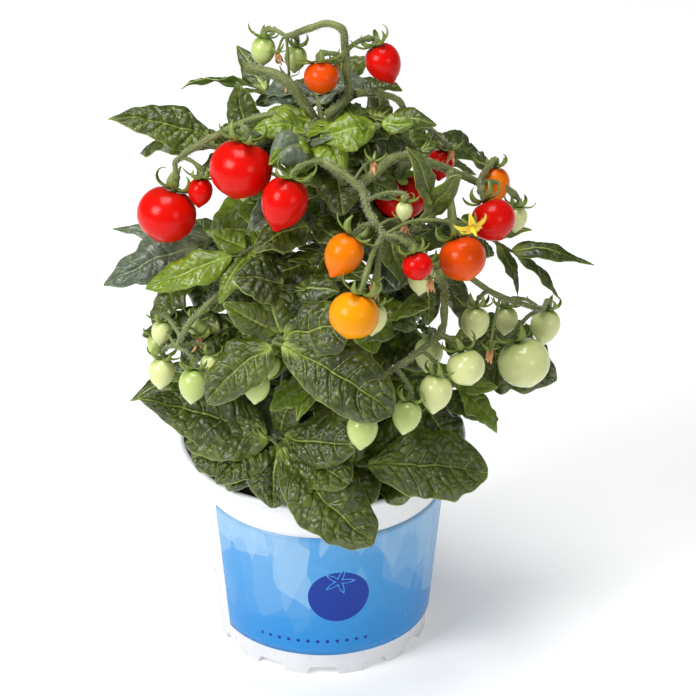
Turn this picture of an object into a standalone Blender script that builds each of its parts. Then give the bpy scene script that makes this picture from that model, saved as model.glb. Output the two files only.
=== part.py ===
"""Dwarf tomato plant growing in a 14 cm nursery pot.

Frame: the pot's axis is Z, the pot stands on the plane Z = 0 and its front faces -Y.
Lengths in the tables below are millimetres; MM turns them into metres.
"""
import math

import bmesh
import bpy
from mathutils import Vector

MM = 0.001
UP = Vector((0, 0, 1))
GAP = 0.3              # clearance between pieces that touch

# --- pot -------------------------------------------------------------------------
RIM_RADIUS = 70.0      # over the rolled rim: a 14 cm pot
FOOT_HEIGHT = 5.0      # how far the floor and the notches stand above the ground
NOTCHES = 12
# Places in one pitch: the foot's start, middle and end, then the notch's start, middle and end.
NOTCH_STEPS = (0.0, 0.21, 0.42, 0.5, 0.71, 0.92)
NOTCH_MIDDLE = 0.71
# Outer side (radius, height), from the rim down to the foot.
POT_OUTSIDE = ((68.6, 109.0), (RIM_RADIUS, 107.4), (69.4, 105.2), (61.8, 102.0),
               (60.4, 87.0), (59.5, 86.0), (52.6, 11.6))
FOOT_OUTER = 51.4
FOOT_INNER = 46.0
PAD_RADIUS = 20.0      # the flat middle of the floor, level with the feet
INNER_FLOOR = 6.4
DRAIN_HOLES = 8
DRAIN_RADIUS = 4.0
DRAIN_CIRCLE = 33.0    # radius on which the drain holes stand
# Inner side (radius, height), from the floor up to the rim.
POT_INSIDE = ((50.6, INNER_FLOOR), (58.2, 86.0), (60.4, 102.6), (67.0, 108.4))

# --- printed wrap label ----------------------------------------------------------
LABEL_TOP = 85.0
LABEL_BOTTOM = 13.0
LABEL_THICK = 0.4
LABEL_FROM = -60       # degrees from the front, positive towards +X
LABEL_TO = 250
LABEL_STEP = 5

# --- compost ---------------------------------------------------------------------
SOIL_TOP = 99.0
SOIL_SIDES = 40
SOIL_PROFILE = ((50.2, INNER_FLOOR + GAP), (58.0, 86.0), (59.4, 97.0), (40.0, SOIL_TOP),
                (20.0, SOIL_TOP + 1.0))

# --- stems -----------------------------------------------------------------------
STEM_SIDES = 7
TRUSS_SIDES = 6
STALK_SIDES = 5
STALK_SMOOTHING = 2    # curve points for each gap between the points of a leaf stalk
HOLE_RADIUS = 5.6      # in the compost, for the main stem
HOLE_DEPTH = 24.0
# (x, y, z, radius) up the main stem.
MAIN_STEM = ((0, 0, 77, 5.0), (1, -2, 112, 4.8), (2, -4, 150, 4.4), (3, -5, 190, 4.0),
             (3, -7, 230, 3.6), (3, -9, 262, 3.2), (1, -12, 284, 2.8))

# Side shoots: route (x, y, z) and the radius at its two ends.
SHOOTS = {
    "shoot_back": (((3, 2, 182), (4, 16, 204), (8, 34, 222), (10, 44, 230)), 2.5, 2.0),
    "cut_shoot": (((-3, -15, 286), (-10, -12, 297), (-15, -10, 303), (-23, -6, 306),
                   (-35, -2, 307)), 2.6, 2.4),
}

# --- fruit -----------------------------------------------------------------------
FRUIT_SIDES = 10
BERRY_SIDES = 7
# Profile of each kind, from the stem end to the tip: (share of radius, share of length).
FRUIT_KINDS = {
    "round": (0.92, ((0.5, 0.03), (0.88, 0.24), (1.0, 0.5), (0.86, 0.78), (0.48, 0.96))),
    "heart": (1.12, ((0.62, 0.0), (0.96, 0.2), (0.98, 0.42), (0.76, 0.68), (0.36, 0.9))),
}
RED = (0.62, 0.03, 0.02)
ORANGE = (0.85, 0.22, 0.02)
YELLOW = (0.85, 0.55, 0.06)
GREEN = (0.42, 0.52, 0.16)
# Fruit with a node of its own: centre, diameter, direction of the stem end, kind, colour.
FRUITS = {
    "tomato_left_large": ((-37, -42, 275), 29, (0.2, 0.4, 0.9), "round", RED),
    "tomato_left_second": ((-72, -30, 245), 28, (0.3, 0.3, 0.9), "round", RED),
    "tomato_center_heart": ((-18, -62, 266), 22, (0.3, 0.3, 0.9), "heart", RED),
    "tomato_top": ((0, -18, 310), 16, (-0.1, 0.4, 0.9), "round", ORANGE),
    "tomato_top_right": ((30, -8, 311), 17, (-0.4, 0.2, 0.9), "heart", RED),
    "tomato_inner": ((37, -22, 251), 25, (-0.1, -0.2, 0.95), "round", RED),
    "tomato_right_upper": ((80, -26, 240), 21, (-0.4, 0.5, 0.8), "round", RED),
    "tomato_right_front": ((65, -58, 237), 22, (-0.3, 0.5, 0.8), "round", ORANGE),
    "tomato_front_small": ((44, -78, 244), 14, (-0.3, 0.3, 0.9), "round", RED),
    "tomato_front_upper": ((9, -84, 251), 18, (0.5, 0.4, 0.8), "heart", ORANGE),
    "tomato_front_lower": ((15, -97, 229), 23, (0.3, 0.4, 0.9), "round", YELLOW),
    "tomato_right_low": ((96, -28, 164), 25, (-0.3, 0.3, 0.9), "round", GREEN),
    "tomato_low_pale": ((67, -70, 186), 18, (-0.3, 0.4, 0.9), "round", GREEN),
    "tomato_low_tip": ((39, -88, 169), 14, (0.2, 0.4, 0.9), "heart", GREEN),
    "tomato_left_green": ((-60, -70, 175), 14, (0.1, 0.4, 0.9), "heart", GREEN),
    "tomato_back_large": ((27, 68, 221), 27, (-0.4, -0.4, 0.8), "round", RED),
    "tomato_back_low": ((2, 72, 210), 24, (0.1, -0.4, 0.9), "round", ORANGE),
    "tomato_back_left": ((-34, 46, 232), 21, (0.4, -0.3, 0.8), "round", RED),
    "tomato_back_green": ((-18, 58, 198), 15, (0.3, -0.4, 0.9), "heart", GREEN),
}

# Fruit trusses: route, end radii, fruit nodes on it, small green fruit grown onto it
# (centre, diameter).
TRUSSES = {
    "truss_top": (((3, -13, 288), (12, -12, 297), (12, -12, 310), (11, -12, 322), (10, -14, 332),
                   (3, -11, 334), (-5, -8, 330), (-16, -2, 323)), 2.2, 1.4,
                  ("tomato_top", "tomato_top_right"), (((-27, 4, 313), 12), ((-12, 4, 309), 11))),
    "truss_top_right": (((17, -12, 299), (27, -9, 297), (36, -8, 293), (41, -6, 282),
                         (51, -2, 275), (57, 0, 268), (61, 2, 263)), 1.6, 1.0, (),
                        (((56, 4, 254), 13),)),
    "truss_upper_left": (((-2, -17, 274), (-12, -20, 288), (-26, -26, 294), (-45, -28, 287),
                          (-60, -24, 276), (-68, -22, 268)), 1.9, 1.3,
                         ("tomato_left_large", "tomato_left_second"),
                         (((-56, -32, 258), 12), ((-36, -22, 254), 9))),
    "truss_front": (((11, -41, 267), (6, -46, 278), (2, -48, 281), (11, -52, 277), (19, -56, 271),
                     (21, -62, 265), (25, -68, 261), (28, -73, 257)), 1.8, 1.3,
                    ("tomato_center_heart", "tomato_front_upper", "tomato_front_lower",
                     "tomato_front_small"),
                    (((38, -62, 264), 8), ((46, -60, 228), 13), ((24, -82, 219), 13))),
    "truss_hairy": (((5, -14, 238), (8, -25, 252), (14, -37, 263), (24, -42, 272),
                     (31, -40, 278), (38, -36, 278), (50, -26, 270), (66, -14, 257),
                     (74, -8, 250)), 2.6, 1.7,
                    ("tomato_inner", "tomato_right_upper", "tomato_right_front"),
                    (((80, 4, 240), 13), ((92, -2, 228), 11))),
    "truss_right": (((9, -8, 168), (20, -19, 190), (36, -31, 208), (54, -38, 222),
                     (64, -39, 221), (70, -39, 216), (82, -33, 204), (96, -25, 194),
                     (105, -18, 187)), 1.8, 1.2, ("tomato_right_low",),
                    (((72, -42, 194), 14), ((107, -6, 172), 15), ((88, -8, 176), 12))),
    "truss_low": (((52, -41, 220), (57, -48, 216), (57, -56, 209), (56, -62, 201), (47, -70, 196),
                   (40, -75, 193), (34, -78, 190)), 1.8, 1.2,
                  ("tomato_low_pale", "tomato_low_tip"),
                  (((53, -76, 176), 16), ((50, -54, 184), 14), ((19, -88, 163), 15))),
    "truss_left": (((-4, -10, 176), (-14, -20, 196), (-26, -31, 207), (-44, -46, 213),
                    (-53, -54, 210), (-62, -58, 201), (-68, -58, 190)), 1.7, 1.1,
                   ("tomato_left_green",),
                   (((-75, -54, 174), 13), ((-52, -60, 181), 10), ((-78, -42, 182), 9))),
    "truss_center": (((-9, -32, 200), (-16, -46, 200), (-22, -58, 197), (-26, -66, 193)), 1.4, 0.9,
                     (), (((-30, -76, 179), 13), ((-24, -62, 182), 10))),
    "truss_back": (((11, 47, 232), (14, 54, 238), (8, 60, 238), (-2, 60, 232), (-10, 56, 226),
                    (-16, 54, 216)), 1.8, 1.2,
                   ("tomato_back_large", "tomato_back_low", "tomato_back_left",
                    "tomato_back_green"), (((-34, 60, 210), 12),)),
}

# --- open flower -----------------------------------------------------------------
FLOWER_CENTRE = (70, -68, 257)
FLOWER_FACING = (0.3, -0.8, -0.5)
PETALS = 5
PETAL_REACH = 9.0
PETAL_NOTCH = 3.4      # radius at which two petals part
PETAL_BEND = -3.0      # how far the tips turn back
CONE_HEIGHT = 5.0      # the stamens stand out this far
PETAL_THICK = 0.8

# --- leaves ----------------------------------------------------------------------
LEAF_THICK = 0.9
RACHIS_HALF = 1.2      # half the width of a leaf stalk
STATION = 1.4          # half the length of stalk that a side leaflet grows from
STALK_STEP = 14.0      # stalk length for each row of its strip
LEAFLET_ROWS = 4
LEAF_DARK = (0.05, 0.11, 0.03)
LEAF_LIGHT = (0.16, 0.30, 0.04)
# Share of the full width along a leaflet, for each outline.
OUTLINES = {
    "oval": (0.74, 1.0, 0.78),
    "blunt": (0.78, 1.0, 0.94),
    "lance": (0.92, 0.84, 0.5),
    "lobed": (0.86, 0.96, 0.6),
}

# Each leaf: height at which its stalk leaves the main stem, the stalk's other points, and its
# leaflets (share of stalk, tip, width, droop, outline). The last leaflet ends the stalk.
LEAVES = {
    "leaf_front_upper": (190, ((-12, -48, 197), (-22, -78, 204)), (
        (0.80, (-44, -70, 219), 15, 1, "oval"), (0.90, (14, -90, 219), 26, 1, "blunt"),
        (0.93, (-56, -86, 178), 26, 3, "oval"), (1, (33, -106, 183), 31, 4, "blunt"))),
    "leaf_front_low": (116, ((-18, -38, 131), (-23, -60, 140)), (
        (0.70, (-12, -58, 161), 17, 1, "oval"), (0.72, (-50, -66, 122), 22, 2, "oval"),
        (0.86, (15, -78, 149), 23, 2, "blunt"), (0.88, (-87, -46, 156), 28, -4, "lance"),
        (1, (24, -94, 104), 31, 5, "blunt"))),
    "leaf_front_low_right": (118, ((11, -38, 118), (17, -58, 125)), (
        (0.90, (-8, -78, 118), 18, 2, "oval"), (0.80, (49, -44, 138), 20, 1, "oval"),
        (1, (79, -60, 124), 33, 3, "blunt"))),
    "leaf_right_low": (134, ((34, -18, 140), (56, -30, 146)), (
        (0.75, (84, -10, 128), 13, 3, "lance"), (0.85, (52, -48, 158), 14, 0, "oval"),
        (1, (84, -38, 140), 17, 2, "oval"))),
    "leaf_right_serrated": (158, ((40, 4, 166), (68, 6, 156)), (
        (0.80, (88, -8, 136), 16, 2, "lobed"), (0.88, (98, 14, 162), 15, 2, "lobed"),
        (1, (116, 4, 143), 28, 3, "lobed"))),
    "leaf_right_upper": (206, ((40, 8, 222), (71, 10, 215), (92, 10, 203)), (
        (0.72, (100, 14, 214), 9, 1, "lance"), (0.84, (96, 4, 184), 12, 1, "lance"),
        (0.93, (131, 14, 196), 12, 1, "lance"), (1, (116, 8, 180), 10, 1, "lance"))),
    "leaf_left_upper": (250, ((-28, 0, 264), (-46, -4, 267)), (
        (0.60, (-40, 4, 296), 17, -1, "oval"), (0.85, (-60, -8, 254), 12, 1, "lance"),
        (1, (-98, -8, 285), 18, 3, "lance"))),
    "leaf_left_mid": (212, ((-34, -8, 222), (-55, -14, 221)), (
        (0.70, (-62, -26, 207), 13, 2, "lance"), (0.85, (-100, 2, 222), 11, 1, "lance"),
        (1, (-104, -20, 202), 17, 2, "lobed"))),
    "leaf_left_fold": (222, ((-24, -32, 232), (-38, -44, 231)), (
        (0.75, (-48, -56, 214), 14, 2, "oval"), (0.85, (-52, -36, 240), 13, 0, "lance"),
        (1, (-82, -44, 214), 17, 3, "oval"))),
    "leaf_left_lower": (164, ((-34, -26, 182), (-50, -34, 184)), (
        (0.75, (-52, -48, 166), 15, 2, "oval"), (0.88, (-66, -22, 190), 12, 0, "oval"),
        (1, (-86, -24, 178), 19, 3, "oval"))),
    "leaf_left_base": (132, ((-40, -10, 146), (-60, -16, 148)), (
        (0.78, (-72, -30, 146), 12, 1, "lance"), (0.88, (-80, 0, 144), 13, 1, "lance"),
        (1, (-93, -20, 140), 12, 2, "lance"))),
    "leaf_top_left": (268, ((-16, 10, 281), (-32, 18, 288)), (
        (0.70, (-30, 34, 272), 13, 1, "lance"), (0.80, (-40, 34, 302), 12, 0, "lance"),
        (1, (-66, 14, 291), 12, 2, "lance"))),
    "leaf_top_center": (276, ((-6, -26, 286), (-8, -30, 286)), (
        (0.80, (18, -34, 274), 14, 1, "oval"), (1, (-23, -52, 284), 17, 2, "lance"))),
    "leaf_top_right": (272, ((22, -10, 284), (30, -14, 286)), (
        (0.60, (28, 14, 290), 12, 0, "lance"), (0.80, (20, -30, 284), 14, 1, "oval"),
        (1, (52, -16, 286), 14, 2, "lance"))),
    "leaf_slender": (214, ((36, -26, 230), (51, -46, 257)), (
        (0.85, (64, -54, 276), 12, 0, "oval"), (1, (41, -52, 291), 11, 1, "lance"))),
    "leaf_center_round": (204, ((-8, -44, 214), (-16, -56, 221)), (
        (0.80, (8, -62, 222), 13, 1, "oval"), (1, (-40, -66, 232), 22, 2, "oval"))),
    "leaf_center_oval": (234, ((-2, -32, 244), (-4, -44, 246)), (
        (0.75, (12, -60, 244), 12, 1, "oval"), (1, (-30, -66, 246), 19, 2, "oval"))),
    "leaf_inner_right": (186, ((24, -34, 196), (33, -46, 200)), (
        (0.70, (46, -34, 188), 13, 1, "oval"), (0.85, (20, -66, 200), 16, 1, "oval"),
        (1, (48, -66, 216), 16, 2, "oval"))),
    "leaf_back_upper": (258, ((6, 22, 274), (8, 34, 278)), (
        (0.75, (-18, 38, 280), 19, 1, "oval"), (0.85, (38, 34, 280), 20, 1, "oval"),
        (1, (12, 72, 276), 27, 4, "blunt"))),
    "leaf_back_right": (224, ((32, 26, 240), (44, 38, 244)), (
        (0.78, (74, 26, 238), 19, 2, "oval"), (0.88, (40, 66, 252), 20, 1, "oval"),
        (1, (82, 62, 226), 27, 4, "blunt"))),
    "leaf_back_left": (238, ((-30, 20, 252), (-44, 28, 254)), (
        (0.78, (-38, 56, 254), 19, 1, "oval"), (0.88, (-72, 20, 266), 19, 1, "oval"),
        (1, (-88, 46, 240), 27, 4, "blunt"))),
    "leaf_back_low_left": (172, ((-30, 26, 192), (-44, 36, 196)), (
        (0.78, (-42, 68, 186), 20, 2, "oval"), (0.88, (-78, 22, 196), 20, 2, "oval"),
        (1, (-84, 62, 178), 30, 5, "blunt"))),
    "leaf_back_low_right": (176, ((30, 28, 192), (44, 38, 196)), (
        (0.78, (44, 72, 190), 20, 2, "oval"), (0.88, (80, 28, 194), 20, 2, "oval"),
        (1, (84, 66, 176), 30, 5, "blunt"))),
    "leaf_back_base": (140, ((4, 36, 150), (4, 52, 152)), (
        (0.78, (-40, 54, 150), 22, 2, "oval"), (0.88, (46, 58, 150), 22, 2, "oval"),
        (1, (4, 94, 132), 31, 5, "blunt"))),
}


# --- helpers ---------------------------------------------------------------------
def clear_scene():
    """Remove every object of the open file."""
    for thing in list(bpy.data.objects):
        bpy.data.objects.remove(thing, do_unlink=True)


def material(name, colour, roughness):
    """Return the named Principled material, made on first use."""
    finish = bpy.data.materials.get(name)
    if finish is None:
        finish = bpy.data.materials.new(name)
        finish.use_nodes = True
        shader = finish.node_tree.nodes["Principled BSDF"]
        shader.inputs["Base Color"].default_value = (*colour, 1.0)
        shader.inputs["Roughness"].default_value = roughness
        finish.diffuse_color = (*colour, 1.0)
    return finish


def add_object(name, verts, faces, finish):
    """Add a smooth-shaded mesh object from vertices in millimetres."""
    mesh = bpy.data.meshes.new(name)
    mesh.from_pydata([Vector(v) * MM for v in verts], [], faces)
    mesh.materials.append(finish)
    mesh.shade_smooth()
    mesh.set_sharp_from_angle(angle=math.radians(40))
    thing = bpy.data.objects.new(name, mesh)
    bpy.context.scene.collection.objects.link(thing)
    return thing


def hide_operand(thing):
    """Keep an operand of a Boolean out of the model."""
    thing.hide_render = True
    thing.display_type = "WIRE"


def add_boolean(thing, operand, operation):
    """Cut or join another object with an exact Boolean."""
    modifier = thing.modifiers.new(operation.lower(), "BOOLEAN")
    modifier.solver = "EXACT"
    modifier.operation = operation
    modifier.object = operand
    hide_operand(operand)


def polar(radius, angle, height):
    """Point at a radius and a height; angle 0 is the front, positive towards +X."""
    return Vector((radius * math.sin(angle), -radius * math.cos(angle), height))


def smooth_route(points):
    """Catmull-Rom curve through the points, with STALK_SMOOTHING steps in each gap."""
    points = [Vector(p) for p in points]
    ends = [points[0] * 2 - points[1]] + points + [points[-1] * 2 - points[-2]]
    route = []
    for a, b, c, d in zip(ends, ends[1:], ends[2:], ends[3:]):
        for step in range(STALK_SMOOTHING):
            t = step / STALK_SMOOTHING
            route.append(0.5 * (2 * b + (c - a) * t + (2 * a - 5 * b + 4 * c - d) * t ** 2
                                + (3 * b - a - 3 * c + d) * t ** 3))
    return route + [points[-1]]


def tube_mesh(route, radii, sides=STEM_SIDES):
    """Round tube along a route, closed at both ends: (vertices, faces)."""
    verts, faces = [], []
    tangent = (route[1] - route[0]).normalized()
    side = tangent.orthogonal().normalized()
    for i, point in enumerate(route):
        ahead = route[min(i + 1, len(route) - 1)]
        behind = route[max(i - 1, 0)]
        tangent = (ahead - behind).normalized()
        side = (side - tangent * side.dot(tangent)).normalized()
        across = tangent.cross(side)
        for k in range(sides):
            angle = math.tau * k / sides
            verts.append(point + radii[i] * (side * math.cos(angle) + across * math.sin(angle)))
    for i in range(len(route) - 1):
        for k in range(sides):
            a, b = i * sides + k, i * sides + (k + 1) % sides
            faces.append((a, b, b + sides, a + sides))
    faces.append(tuple(reversed(range(sides))))
    last = (len(route) - 1) * sides
    faces.append(tuple(range(last, last + sides)))
    return verts, faces


def tapered(count, start, end):
    """Radii that go evenly from start to end."""
    return [start + (end - start) * i / (count - 1) for i in range(count)]


def revolve(name, profile, sides, finish):
    """Turn a closed (radius, height) profile whose first and last points are on the axis."""
    verts = [Vector((0, 0, profile[0][1])), Vector((0, 0, profile[-1][1]))]
    rings = profile[1:-1]
    for radius, height in rings:
        verts += [polar(radius, math.tau * k / sides, height) for k in range(sides)]
    faces = []
    for k in range(sides):
        n = (k + 1) % sides
        for i in range(len(rings) - 1):
            a, b = 2 + i * sides, 2 + (i + 1) * sides
            faces.append((a + k, a + n, b + n, b + k))
        last = 2 + (len(rings) - 1) * sides
        faces.append((0, 2 + n, 2 + k))
        faces.append((1, last + k, last + n))
    return add_object(name, verts, faces, finish)


# --- pot, label and compost -------------------------------------------------------
def make_pot():
    """Thin walled pot with a rolled rim, a foot ring cut by notches, and drain holes."""
    under = ((FOOT_INNER, 0.0), (45.0, FOOT_HEIGHT), (PAD_RADIUS + 1.0, FOOT_HEIGHT),
             (PAD_RADIUS, 0.0))
    profile = ((PAD_RADIUS * 0.5, INNER_FLOOR),) + POT_INSIDE + POT_OUTSIDE
    profile += ((FOOT_OUTER, 0.0),) + under
    angles = []
    in_notch = []
    for notch in range(NOTCHES):
        for step, share in enumerate(NOTCH_STEPS):
            angles.append(math.tau * (notch + share - NOTCH_MIDDLE) / NOTCHES)
            in_notch.append(step >= len(NOTCH_STEPS) // 2)
    sides = len(angles)
    verts = [Vector((0, 0, INNER_FLOOR)), Vector((0, 0, 0))]
    for radius, height in profile:
        foot = height == 0.0 and radius > PAD_RADIUS
        for angle, notch in zip(angles, in_notch):
            verts.append(polar(radius, angle, FOOT_HEIGHT - GAP if foot and notch else height))
    faces = []
    last = 2 + (len(profile) - 1) * sides
    for k in range(sides):
        n = (k + 1) % sides
        for i in range(len(profile) - 1):
            a, b = 2 + i * sides, 2 + (i + 1) * sides
            faces.append((a + k, b + k, b + n, a + n))
        faces.append((0, 2 + k, 2 + n))
        faces.append((1, last + n, last + k))
    pot = add_object("pot", verts, faces, material("pot_plastic", (0.8, 0.8, 0.8), 0.35))
    for hole in range(DRAIN_HOLES):
        centre = polar(DRAIN_CIRCLE, math.tau * hole / DRAIN_HOLES, FOOT_HEIGHT)
        drill = tube_mesh([centre - UP * 4, centre + UP * 6], [DRAIN_RADIUS] * 2)
        add_boolean(pot, add_object(f"drill_{hole}", *drill, pot.data.materials[0]), "DIFFERENCE")


def wall_radius(height):
    """Radius of the pot's outer wall at a height between the foot and the label ledge."""
    (top_radius, top), (low_radius, low) = POT_OUTSIDE[-2:]
    return low_radius + (top_radius - low_radius) * (height - low) / (top - low)


def make_label():
    """Printed sheet wrapped round the pot, open at the left where its ends stay apart."""
    corners = ((wall_radius(LABEL_BOTTOM) + GAP, LABEL_BOTTOM),
               (wall_radius(LABEL_TOP) + GAP, LABEL_TOP))
    corners += tuple((radius + LABEL_THICK, height) for radius, height in reversed(corners))
    angles = [math.radians(a) for a in range(LABEL_FROM, LABEL_TO + 1, LABEL_STEP)]
    verts = [polar(radius, angle, height) for angle in angles for radius, height in corners]
    faces = [(3, 2, 1, 0)]
    for i in range(len(angles) - 1):
        for k in range(4):
            a, b = i * 4 + k, i * 4 + (k + 1) % 4
            faces.append((a, b, b + 4, a + 4))
    last = (len(angles) - 1) * 4
    faces.append((last, last + 1, last + 2, last + 3))
    add_object("wrap_label", verts, faces, material("label_print", (0.2, 0.45, 0.75), 0.3))


def make_soil():
    """Compost that fills the pot to below its rim, with a hole for the main stem."""
    profile = ((0.0, SOIL_PROFILE[0][1]),) + SOIL_PROFILE + ((0.0, SOIL_TOP + 1.5),)
    soil = revolve("compost", profile, SOIL_SIDES, material("compost", (0.03, 0.02, 0.015), 0.95))
    route = [Vector((0, 0, SOIL_TOP - HOLE_DEPTH)), Vector((1, -1, SOIL_TOP + 10))]
    drill = tube_mesh(route, [HOLE_RADIUS] * 2)
    add_boolean(soil, add_object("drill_stem", *drill, soil.data.materials[0]), "DIFFERENCE")


# --- stems and trusses ------------------------------------------------------------
def stem_at(height):
    """Centre and radius of the main stem at a height."""
    for low, high in zip(MAIN_STEM, MAIN_STEM[1:]):
        if height <= high[2]:
            t = (height - low[2]) / (high[2] - low[2])
            centre = Vector(low[:3]).lerp(Vector(high[:3]), t)
            return centre, low[3] + (high[3] - low[3]) * t
    return Vector(MAIN_STEM[-1][:3]), MAIN_STEM[-1][3]


def make_stems():
    """Main stem with a root end in the compost, and the side shoots."""
    bark = material("stem", (0.25, 0.32, 0.10), 0.6)
    route = [Vector(p[:3]) for p in MAIN_STEM]
    add_object("main_stem", *tube_mesh(route, [p[3] for p in MAIN_STEM]), bark)
    for name, (points, start, end) in SHOOTS.items():
        route = smooth_route(points)
        add_object(name, *tube_mesh(route, tapered(len(route), start, end)), bark)


def fruit_mesh(centre, diameter, stem_end, kind, sides=FRUIT_SIDES):
    """Turned fruit on its own axis: (vertices, faces)."""
    stretch, rings = FRUIT_KINDS[kind]
    axis = -Vector(stem_end).normalized()
    turn = UP.rotation_difference(axis)
    length = diameter * stretch
    start = Vector(centre) - axis * length / 2
    verts = [start, start + axis * length]
    for width, along in rings:
        for k in range(sides):
            point = polar(width * diameter / 2, math.tau * k / sides, along * length)
            verts.append(start + turn @ point)
    faces = []
    last = 2 + (len(rings) - 1) * sides
    for k in range(sides):
        n = (k + 1) % sides
        for i in range(len(rings) - 1):
            a, b = 2 + i * sides, 2 + (i + 1) * sides
            faces.append((a + k, a + n, b + n, b + k))
        faces.append((0, 2 + n, 2 + k))
        faces.append((1, last + k, last + n))
    return verts, faces


def make_fruits():
    """The large fruit, each a solid of its own."""
    for name, (centre, diameter, stem_end, kind, colour) in FRUITS.items():
        skin = material("skin_%02d%02d%02d" % tuple(int(c * 99) for c in colour), colour, 0.15)
        add_object(name, *fruit_mesh(centre, diameter, stem_end, kind), skin)


def stem_end_of(name):
    """Where a fruit's stalk meets it, and the direction outwards there."""
    centre, diameter, stem_end, kind, _ = FRUITS[name]
    outwards = Vector(stem_end).normalized()
    return Vector(centre) + outwards * diameter * FRUIT_KINDS[kind][0] / 2, outwards


def fruit_stalk(route, end, outwards, radius):
    """Stalk from the nearest point of a truss that arches over into a fruit's stem end."""
    start = min(route[2:], key=lambda p: (p - end).length + 0.3 * abs(p.z - end.z))
    reach = (start - end).length
    bend = (start + end) / 2 + UP * reach * 0.12 + outwards * reach * 0.1
    stalk = [start, bend, end + outwards * min(3.0, reach / 3), end]
    return tube_mesh(stalk, tapered(len(stalk), radius, radius * 0.9), STALK_SIDES)


def make_trusses():
    """Each truss: its stalk, the fruit stalks, and its smallest fruit, grown as one solid."""
    bark = material("stem", (0.25, 0.32, 0.10), 0.6)
    for name, (points, start, end, fruits, small) in TRUSSES.items():
        route = [Vector(p) for p in points]
        stem = tube_mesh(route, tapered(len(route), start, end), TRUSS_SIDES)
        truss = add_object(name, *stem, bark)
        for fruit in fruits:
            tip, outwards = stem_end_of(fruit)
            stalk = fruit_stalk(route, tip + outwards * GAP, outwards, end)
            add_boolean(truss, add_object(f"stalk_{fruit}", *stalk, bark), "UNION")
        for i, (centre, diameter) in enumerate(small):
            nearest = min(route[1:], key=lambda p: (p - Vector(centre)).length)
            outwards = (nearest - Vector(centre)).normalized()
            berry = fruit_mesh(centre, diameter, outwards, "heart", BERRY_SIDES)
            tip = Vector(centre) + outwards * diameter * 0.3
            stalk = fruit_stalk(route, tip, outwards, end * 0.9)
            add_boolean(truss, add_object(f"{name}_stalk_{i}", *stalk, bark), "UNION")
            add_boolean(truss, add_object(f"{name}_berry_{i}", *berry, bark), "UNION")


def make_flower():
    """Star of pointed petals that turn back from a cone of stamens."""
    centre = Vector(FLOWER_CENTRE)
    turn = UP.rotation_difference(Vector(FLOWER_FACING).normalized())
    outline = [Vector((0, 0, CONE_HEIGHT))]
    for k in range(PETALS * 2):
        radius, bend = ((PETAL_REACH, PETAL_BEND), (PETAL_NOTCH, 0.0))[k % 2]
        outline.append(polar(radius, math.pi * k / PETALS, bend))
    faces = [(0, k + 1, (k + 1) % (PETALS * 2) + 1) for k in range(PETALS * 2)]
    flower = add_object("open_flower", [centre + turn @ p for p in outline], faces,
                        material("petal", (0.9, 0.7, 0.05), 0.5))
    body = flower.modifiers.new("petals", "SOLIDIFY")
    body.thickness = PETAL_THICK * MM
    body.offset = 0.0


# --- leaves -----------------------------------------------------------------------
def leaf_normal(axis, centre):
    """Upper face's direction: up and away from the plant's axis, square to the leaflet."""
    lean = Vector((centre.x, centre.y - 25, 0)) / 90
    facing = UP + lean
    return (facing - axis * facing.dot(axis)).normalized()


def stalk_rows(route, stations):
    """Distances along a stalk at which its strip has rows, and the row of each station."""
    length = sum((b - a).length for a, b in zip(route, route[1:]))
    marks = {0.0, length}
    for share in stations:
        marks |= {share * length - STATION, share * length, share * length + STATION}
    for i in range(1, int(length / STALK_STEP)):
        place = i * STALK_STEP
        if all(abs(place - mark) > STATION * 2 for mark in marks):
            marks.add(place)
    marks = sorted(marks)
    return marks, {share: marks.index(share * length) for share in stations}


def point_along(route, distance):
    """Point of a route at a distance from its start, and the direction there."""
    for a, b in zip(route, route[1:]):
        step = (b - a).length
        if distance <= step:
            return a.lerp(b, distance / step), (b - a).normalized()
        distance -= step
    return route[-1], (route[-1] - route[-2]).normalized()


def add_leaflet(sheet, base, tip, width, droop, outline):
    """Grow a leaflet from three edge vertices of the sheet: rows of three, then a tip."""
    middle = base[1].co / MM
    axis = (tip - middle).normalized()
    normal = leaf_normal(axis, (tip + middle) / 2)
    across = axis.cross(normal)
    if (base[2].co - base[0].co).dot(across) < 0:
        across.negate()
    row = base
    for i, share in enumerate(OUTLINES[outline], start=1):
        t = i / LEAFLET_ROWS
        centre = middle.lerp(tip, t) + normal * droop * math.sin(math.pi * t)
        edge = across * width / 2 * share
        lift = normal * width * 0.06
        points = (centre - edge + lift, centre, centre + edge + lift)
        new = [sheet.verts.new(p * MM) for p in points]
        sheet.faces.new((row[0], row[1], new[1], new[0]))
        sheet.faces.new((row[1], row[2], new[2], new[1]))
        row = new
    end = sheet.verts.new(tip * MM)
    sheet.faces.new((row[0], row[1], end))
    sheet.faces.new((row[1], row[2], end))


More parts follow.
